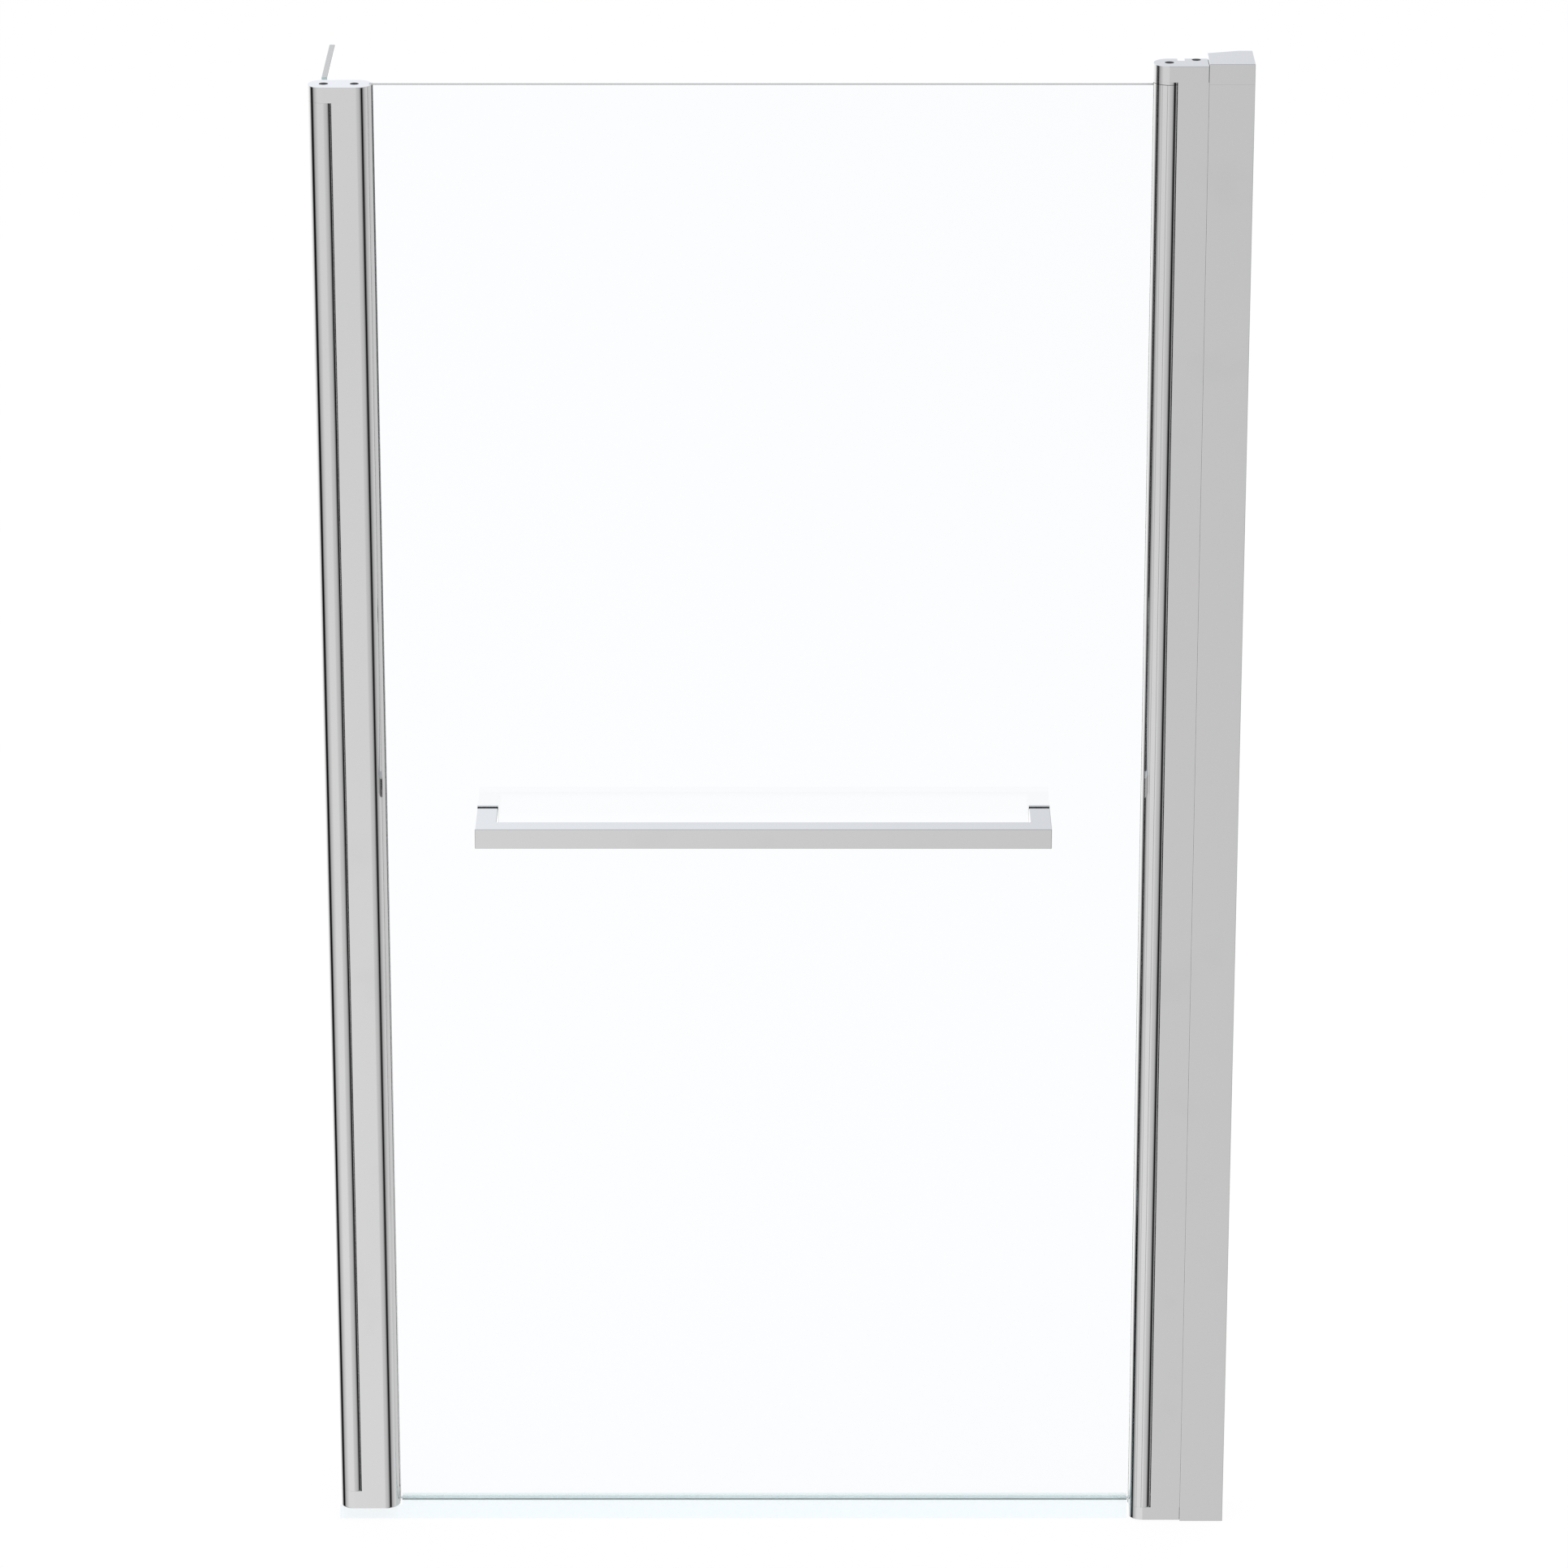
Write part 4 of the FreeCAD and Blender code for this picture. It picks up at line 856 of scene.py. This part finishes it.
class BATHSCREEN_OT_caps(Operator):
    """Build the posts' caps, with bores for the pins and the cap screws"""

    bl_idname = "bath_screen.caps"
    bl_label = "Post caps"

    screw_play = 0.2 * MM
    pin_play = 0.05 * MM
    floor_play = 0.1 * MM
    collar_gap = 0.02 * MM
    corner_bend = 0.6 * MM
    notch_from_pivot = np.array([7.6, 13.3]) * MM
    notch_depth = 7.4 * MM
    slot_play = 0.2 * MM
    slot_depth = 2.4 * MM

    def execute(self, context):
        metal = context.scene.bath_screen_metal
        self.half = span_of("main_knuckle", "y")[1]
        hinge_outlines = [self.hinge_outline(seam) for seam in (metal.top_cap_seam, metal.foot_cap_seam)]
        return_outlines = [self.return_outline()] * 2
        for joint, post, body, outlines, rims in (
            ("main_hinge", "hinge_post", "wall_frame", hinge_outlines, (metal.cap_rim, metal.cap_rim)),
            ("return_hinge", "return_post", "main_panel", return_outlines, (metal.cap_rim, metal.foot_rim)),
        ):
            screws = f"{post}_cap_screws"
            holes = self.holes(joint, screws)
            for end, outward, outline, rim in zip(("top", "bottom"), (1, -1), outlines, rims):
                node = f"{post}_{end}_cap"
                beside_wall_cap = node == "hinge_post_top_cap"
                # The bores and, beside the wall cap, the faces towards the wall are painted dark as shade
                finish = plated_finish(f"chrome_{node}", metal.cap_colour, "z", holes, beside_wall_cap)
                low, high = span_of(post, "z")
                whole = span_of(node, "z")
                span = (high, whole[1]) if outward > 0 else (whole[0], low)
                collar = metal.cap_collar if beside_wall_cap else 0.0
                sunk = [abs(span_of(inside, "z")[outward > 0] - whole[outward > 0]) + self.floor_play
                        for inside in (f"{joint}_{end}_pin", screws)]
                bores = [(*hole, depth) for hole, depth in zip(holes, sunk)]
                shells = pierced_cap(outline, (span[0] + collar, span[1]), outward, rim, bores)
                if collar:
                    disc = arc(PIVOTS[joint], self.half, 0.0, 360.0)[:-1]
                    shells.append(carried(disc, (span[0], span[0] + collar - self.collar_gap), "xyz"))
                make_piece(f"{node}_cover", shells, finish, body, [node])
        return {"FINISHED"}

    def holes(self, joint, screws):
        """Centres and radii of a cap's two bores, round its pin and round its screw's head."""
        heads = [span_of(screws, axis) for axis in "xy"]
        head_at = [sum(span) / 2 for span in heads]
        head_radius = (heads[0][1] - heads[0][0]) / 2 + self.screw_play
        pin = span_of(f"{joint}_top_pin", "x")
        pin_radius = (pin[1] - pin[0]) / 2 + self.pin_play
        return [(*PIVOTS[joint][:2], pin_radius), (*head_at, head_radius)]

    def hinge_outline(self, seam):
        """Round over the knuckle, square and a seam short of the wall profile, notched in the back edge."""
        pivot = PIVOTS["main_hinge"]
        end = span_of("wall_profile", "x")[0] - seam
        bend = self.corner_bend
        notch = pivot[0] + self.notch_from_pivot
        floor = self.half - self.notch_depth
        return np.concatenate([
            arc((end - bend, self.half - bend), bend, 0.0, 90.0),
            [(notch[1], self.half), (notch[1], floor), (notch[0], floor), (notch[0], self.half)],
            arc(pivot, self.half, 90.0, 270.0),
            arc((end - bend, bend - self.half), bend, -90.0, 0.0),
        ])

    def return_outline(self):
        """Round at both ends, with a slot for the corner of the glass."""
        high = span_of("return_post_top_cap", "x")[1]
        slot = span_of("main_glass", "y")[1] + self.slot_play
        mouth = math.degrees(math.asin(slot / self.half))
        end = (high - self.half, 0.0)
        return np.concatenate([
            arc(end, self.half, mouth, 90.0),
            arc(PIVOTS["return_hinge"], self.half, 90.0, 270.0),
            arc(end, self.half, -90.0, -mouth),
            [(high - self.slot_depth, -slot), (high - self.slot_depth, slot)],
        ])


class BATHSCREEN_OT_towel_rail(Operator):
    """Plate the towel rail and its back plates"""

    bl_idname = "bath_screen.towel_rail"
    bl_label = "Towel rail"

    def execute(self, context):
        metal = context.scene.bath_screen_metal
        plate = plated_finish("chrome_rail", metal.profile_colour, "x")
        dress(("towel_rail", "towel_rail_back_plates"), plate)
        return {"FINISHED"}


class BATHSCREEN_OT_glass(Operator):
    """Make both panes clear, with ground edges, and keep them out of the metal's mirror images"""

    bl_idname = "bath_screen.glass"
    bl_label = "Glass panes"

    def execute(self, context):
        for node, across in (("main_glass", "y"), ("return_glass", "x")):
            dress((node,), glass_finish(f"{node}_pane", across, span_of(node, "z")[0]))
            NODES[node].visible_glossy = False
        return {"FINISHED"}


class BATHSCREEN_OT_bottom_seals(Operator):
    """Build the clear channels under the panes, each with a curved wiping lip"""

    bl_idname = "bath_screen.bottom_seals"
    bl_label = "Bottom seals"

    post_gap = 2.0 * MM
    cap_gap = 0.8 * MM
    joint_gap = 0.05 * MM
    lip_inset = 1.0 * MM
    rim_bend = 0.6 * MM
    floor_bend = 0.5 * MM
    seat_bend = 0.08 * MM

    def execute(self, context):
        pane_low, pane_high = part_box("main_glass")
        self.half_glass = (pane_high.y - pane_low.y) / 2
        self.glass_bottom = pane_low.z
        low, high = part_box("bottom_seal")
        self.half_channel = high.y
        self.tip = (low.y, low.z)
        self.rim = high.z + context.scene.bath_screen_clear.seal_rise
        self.wall = self.half_channel - self.half_glass
        self.floor = self.glass_bottom - self.wall
        finish = seal_finish(self.floor, self.glass_bottom, self.rim, self.half_channel)
        post = span_of("return_post", "x")
        cap_bottom = span_of("return_post_bottom_cap", "z")[0]
        channel_start = post[1] + self.post_gap
        section = self.section(context)
        under_post = self.lip(context, cap_bottom - self.cap_gap)
        shells = [
            carried(section, (channel_start, high.x), "yzx"),
            carried(under_post, (low.x, channel_start - self.joint_gap), "yzx"),
        ]
        make_piece("bottom_seal_strip", shells, finish, "main_panel", ["bottom_seal"])
        middle = PIVOTS["return_hinge"][0]
        turned = np.stack([middle + section[:, 0], section[:, 1]], 1)
        shells = [carried(turned, span_of("return_bottom_seal", "y"), "xzy")]
        make_piece("return_seal_strip", shells, finish, "return_panel",
                   ["return_bottom_seal"])
        return {"FINISHED"}

    def lip(self, context, top):
        """The lip below a height: a parabola that leans outwards, thinner towards its edge.

        With t from 0 at the channel's floor to 1 at the edge, the middle line moves outwards by t to the
        power 1.5, and the thickness falls evenly from the root's to the tip's.
        """
        clear = context.scene.bath_screen_clear
        t = np.linspace((self.floor - top) / (self.floor - self.tip[1]), 1.0, 14)
        thickness = clear.lip_root + (clear.lip_tip - clear.lip_root) * t
        root = self.lip_inset - self.half_channel + clear.lip_root / 2
        tip = self.tip[0] + clear.lip_tip / 2
        middle = root + (tip - root) * t ** 1.5
        height = self.floor + (self.tip[1] - self.floor) * t
        outer = np.stack([middle - thickness / 2, height], 1)
        inner = np.stack([middle + thickness / 2, height], 1)
        return np.concatenate([outer, inner[::-1]])

    def section(self, context):
        """The channel round the pane's bottom edge, with rounded rims, and the lip under its front wall."""
        inside = self.half_glass + GLASS_PLAY
        seat = self.glass_bottom - GLASS_PLAY
        outside = self.half_channel
        back = [(outside, self.floor), (outside, self.rim), (inside, self.rim), (inside, seat)]
        front = [(-across, height) for across, height in back[::-1]]
        radii = [self.floor_bend, self.rim_bend, self.rim_bend, self.seat_bend]
        channel = rounded_outline(back + front, radii + radii[::-1])
        return np.concatenate([channel, self.lip(context, self.floor)])


class BATHSCREEN_OT_gaskets(Operator):
    """Build the clear gaskets that hold the panes in their slots"""

    bl_idname = "bath_screen.gaskets"
    bl_label = "Gaskets"

    above_foot = 3.0 * MM
    below_top = 0.2 * MM
    base = 1.0 * MM
    lip_width = 0.7 * MM
    edge_bend = 0.12 * MM

    def execute(self, context):
        settings = context.scene.bath_screen_clear
        clear = (settings.vinyl_colour, settings.vinyl_cover, None)
        smoky = (settings.gasket_colour, settings.gasket_cover, span_of("return_post_gasket", "z"))
        in_caps = (span_of("return_post_bottom_cap", "z")[0] + self.above_foot,
                   span_of("return_post_top_cap", "z")[1] - self.below_top)
        post_reach, knuckle_reach = settings.post_reach, settings.knuckle_reach
        groups = (
            ("main_knuckle_gasket", "x", -1.0, "main_panel", clear, knuckle_reach, None),
            ("return_post_gasket", "x", 1.0, "main_panel", smoky, post_reach, in_caps),
            ("return_knuckle_gasket", "y", 1.0, "return_panel", clear, knuckle_reach, None),
        )
        for node, along, mouth, body, look, reach, span in groups:
            across = "y" if along == "x" else "x"
            in_slot = span_of(node, along)
            finish = vinyl_finish(f"vinyl_{node}", *look, (along, in_slot[mouth > 0], -mouth))
            outline = self.section(in_slot, span_of(node, across), mouth, reach)
            shells = [carried(outline, span or span_of(node, "z"), along + across + "z")]
            make_piece(f"{node}_strip", shells, finish, body, [node])
        return {"FINISHED"}

    def section(self, along, across, mouth, reach):
        """A channel whose two walls end in lips that lean on the glass and stand out of the slot."""
        pane = span_of("main_glass", "y")
        inside = (pane[1] - pane[0]) / 2 + GLASS_PLAY
        middle = sum(across) / 2
        outside = (across[1] - across[0]) / 2
        floor, end = along if mouth > 0 else along[::-1]
        inner_floor = floor + mouth * self.base
        tip = end + mouth * reach
        lip = inside + self.lip_width
        corners = np.array([
            (floor, -outside), (end, -outside), (tip, -lip), (tip, -inside), (inner_floor, -inside),
            (inner_floor, inside), (tip, inside), (tip, lip), (end, outside), (floor, outside),
        ])
        corners[:, 1] += middle
        return rounded_outline(corners, self.edge_bend, 4)


class BATHSCREEN_OT_hinge_seals(Operator):
    """Build the half-round strips that close the turning gaps on the bath side"""

    bl_idname = "bath_screen.hinge_seals"
    bl_label = "Hinge seals"

    def execute(self, context):
        settings = context.scene.bath_screen_clear
        finish = vinyl_finish("clear_hinge_seal", settings.vinyl_colour, settings.vinyl_cover)
        for node, joint, body in (
            ("hinge_seal", "main_hinge", "wall_frame"),
            ("return_hinge_seal", "return_hinge", "main_panel"),
        ):
            shells = [carried(self.section(node, PIVOTS[joint]), span_of(node, "z"), "xyz")]
            make_piece(f"{node}_strip", shells, finish, body, [node])
        return {"FINISHED"}

    def section(self, node, pivot):
        """In polar form about the pivot: an outer arc, and a half-ellipse that swells inwards from it.

        The radius of the swelling is the outer one less its height times the square root of 1 - s squared,
        with s from -1 to 1 across the strip.
        """
        vertices = NODES[node].data.vertices
        places = np.empty(3 * len(vertices))
        vertices.foreach_get("co", places)
        points = places.reshape(-1, 3)[:, :2] - pivot[:2]
        radius = np.hypot(points[:, 0], points[:, 1])
        angle = np.arctan2(points[:, 1], points[:, 0])
        s = np.linspace(-1.0, 1.0, 17)
        sweep = (angle.max() + angle.min()) / 2 + s * (angle.max() - angle.min()) / 2
        swell = radius.max() - (radius.max() - radius.min()) * np.sqrt(1.0 - s ** 2)
        around = np.concatenate([sweep, sweep[-2:0:-1]])
        away = np.concatenate([swell, np.full(len(s) - 2, radius.max())])
        return pivot[:2] + np.stack([away * np.cos(around), away * np.sin(around)], 1)


class BATHSCREEN_OT_washers(Operator):
    """Build the squeezed rubber washers between the rail's legs and the glass"""

    bl_idname = "bath_screen.washers"
    bl_label = "Rail washers"

    def execute(self, context):
        bulge = context.scene.bath_screen_soft.washer_bulge
        low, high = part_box("towel_rail_washers")
        half = (high.z - low.z) / 2
        sleeve = span_of("towel_rail_sleeves", "z")
        hole = (sleeve[1] - sleeve[0]) / 2
        height = (low.z + high.z) / 2
        shells = [self.pad((middle, height), (low.y, high.y), half - bulge, hole, bulge)
                  for middle in (low.x + half, high.x - half)]
        make_piece("towel_rail_washer_pads", shells, rubber_finish(), "main_panel",
                   ["towel_rail_washers"])
        return {"FINISHED"}

    def pad(self, centre, depth, half, hole, bulge):
        """A grid of turns round the pad by steps round its section.

        The rim is a superellipse of power 12, pushed out at half depth by the bulge; the hole is a circle.
        """
        turns, steps, power = 96, 9, 12
        turn = np.linspace(0.0, 2 * math.pi, turns, endpoint=False)[:, None]
        rim = half / (np.abs(np.cos(turn)) ** power + np.abs(np.sin(turn)) ** power) ** (1 / power)
        v = np.linspace(0.02, 0.98, steps)
        v = np.concatenate([v, v[::-1]])[None]
        outer = np.concatenate([np.ones(steps), np.zeros(steps)])[None]
        swell = bulge * (1.0 - (2 * v - 1.0) ** 2)
        away = outer * (rim + swell) + (1.0 - outer) * hole
        y = np.broadcast_to(depth[0] + (depth[1] - depth[0]) * v, away.shape)
        points = np.stack([centre[0] + away * np.cos(turn), y, centre[1] + away * np.sin(turn)], -1)
        return ring_grid(points)


class BATHSCREEN_OT_hardware(Operator):
    """Finish the screws, bolts and pins in steel, and the bushes and sleeves in nylon"""

    bl_idname = "bath_screen.hardware"
    bl_label = "Screws, pins and bushes"

    def execute(self, context):
        pins = [f"{joint}_{end}_pin" for joint in PIVOTS for end in ("top", "bottom")]
        screws = ["hinge_post_cap_screws", "post_locking_screws", "return_post_cap_screws"]
        dress([*pins, *screws, "towel_rail_bolts"], steel_finish())
        bushes = [f"{side}_knuckle_{end}_bush" for side in ("main", "return") for end in ("top", "bottom")]
        dress([*bushes, "towel_rail_sleeves"], nylon_finish())
        return {"FINISHED"}


OPERATORS = (
    BATHSCREEN_OT_stage,
    BATHSCREEN_OT_wall_profile,
    BATHSCREEN_OT_posts,
    BATHSCREEN_OT_knuckles,
    BATHSCREEN_OT_caps,
    BATHSCREEN_OT_towel_rail,
    BATHSCREEN_OT_glass,
    BATHSCREEN_OT_bottom_seals,
    BATHSCREEN_OT_gaskets,
    BATHSCREEN_OT_hinge_seals,
    BATHSCREEN_OT_washers,
    BATHSCREEN_OT_hardware,
)
SETTINGS = {
    "bath_screen_stage": StageSettings,
    "bath_screen_metal": MetalSettings,
    "bath_screen_clear": ClearSettings,
    "bath_screen_soft": SoftSettings,
}


class BATHSCREEN_PT_sidebar(Panel):
    """Settings and steps of the bath screen"""

    bl_idname = "BATHSCREEN_PT_sidebar"
    bl_label = "Bath Screen"
    bl_space_type = "VIEW_3D"
    bl_region_type = "UI"
    bl_category = "Bath Screen"

    def draw(self, context):
        for attribute, group in SETTINGS.items():
            box = self.layout.box()
            box.label(text=group.__doc__)
            for name in group.__annotations__:
                box.prop(getattr(context.scene, attribute), name)
        for operator in OPERATORS:
            self.layout.operator(operator.bl_idname)


def register():
    for cls in (*SETTINGS.values(), *OPERATORS, BATHSCREEN_PT_sidebar):
        bpy.utils.register_class(cls)
    for attribute, group in SETTINGS.items():
        setattr(bpy.types.Scene, attribute, PointerProperty(type=group))


def unregister():
    for attribute in SETTINGS:
        delattr(bpy.types.Scene, attribute)
    for cls in reversed((*SETTINGS.values(), *OPERATORS, BATHSCREEN_PT_sidebar)):
        bpy.utils.unregister_class(cls)


def main():
    register()
    for operator in OPERATORS:
        family, name = operator.bl_idname.split(".")
        getattr(getattr(bpy.ops, family), name)()
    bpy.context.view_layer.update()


if __name__ == "__main__":
    main()
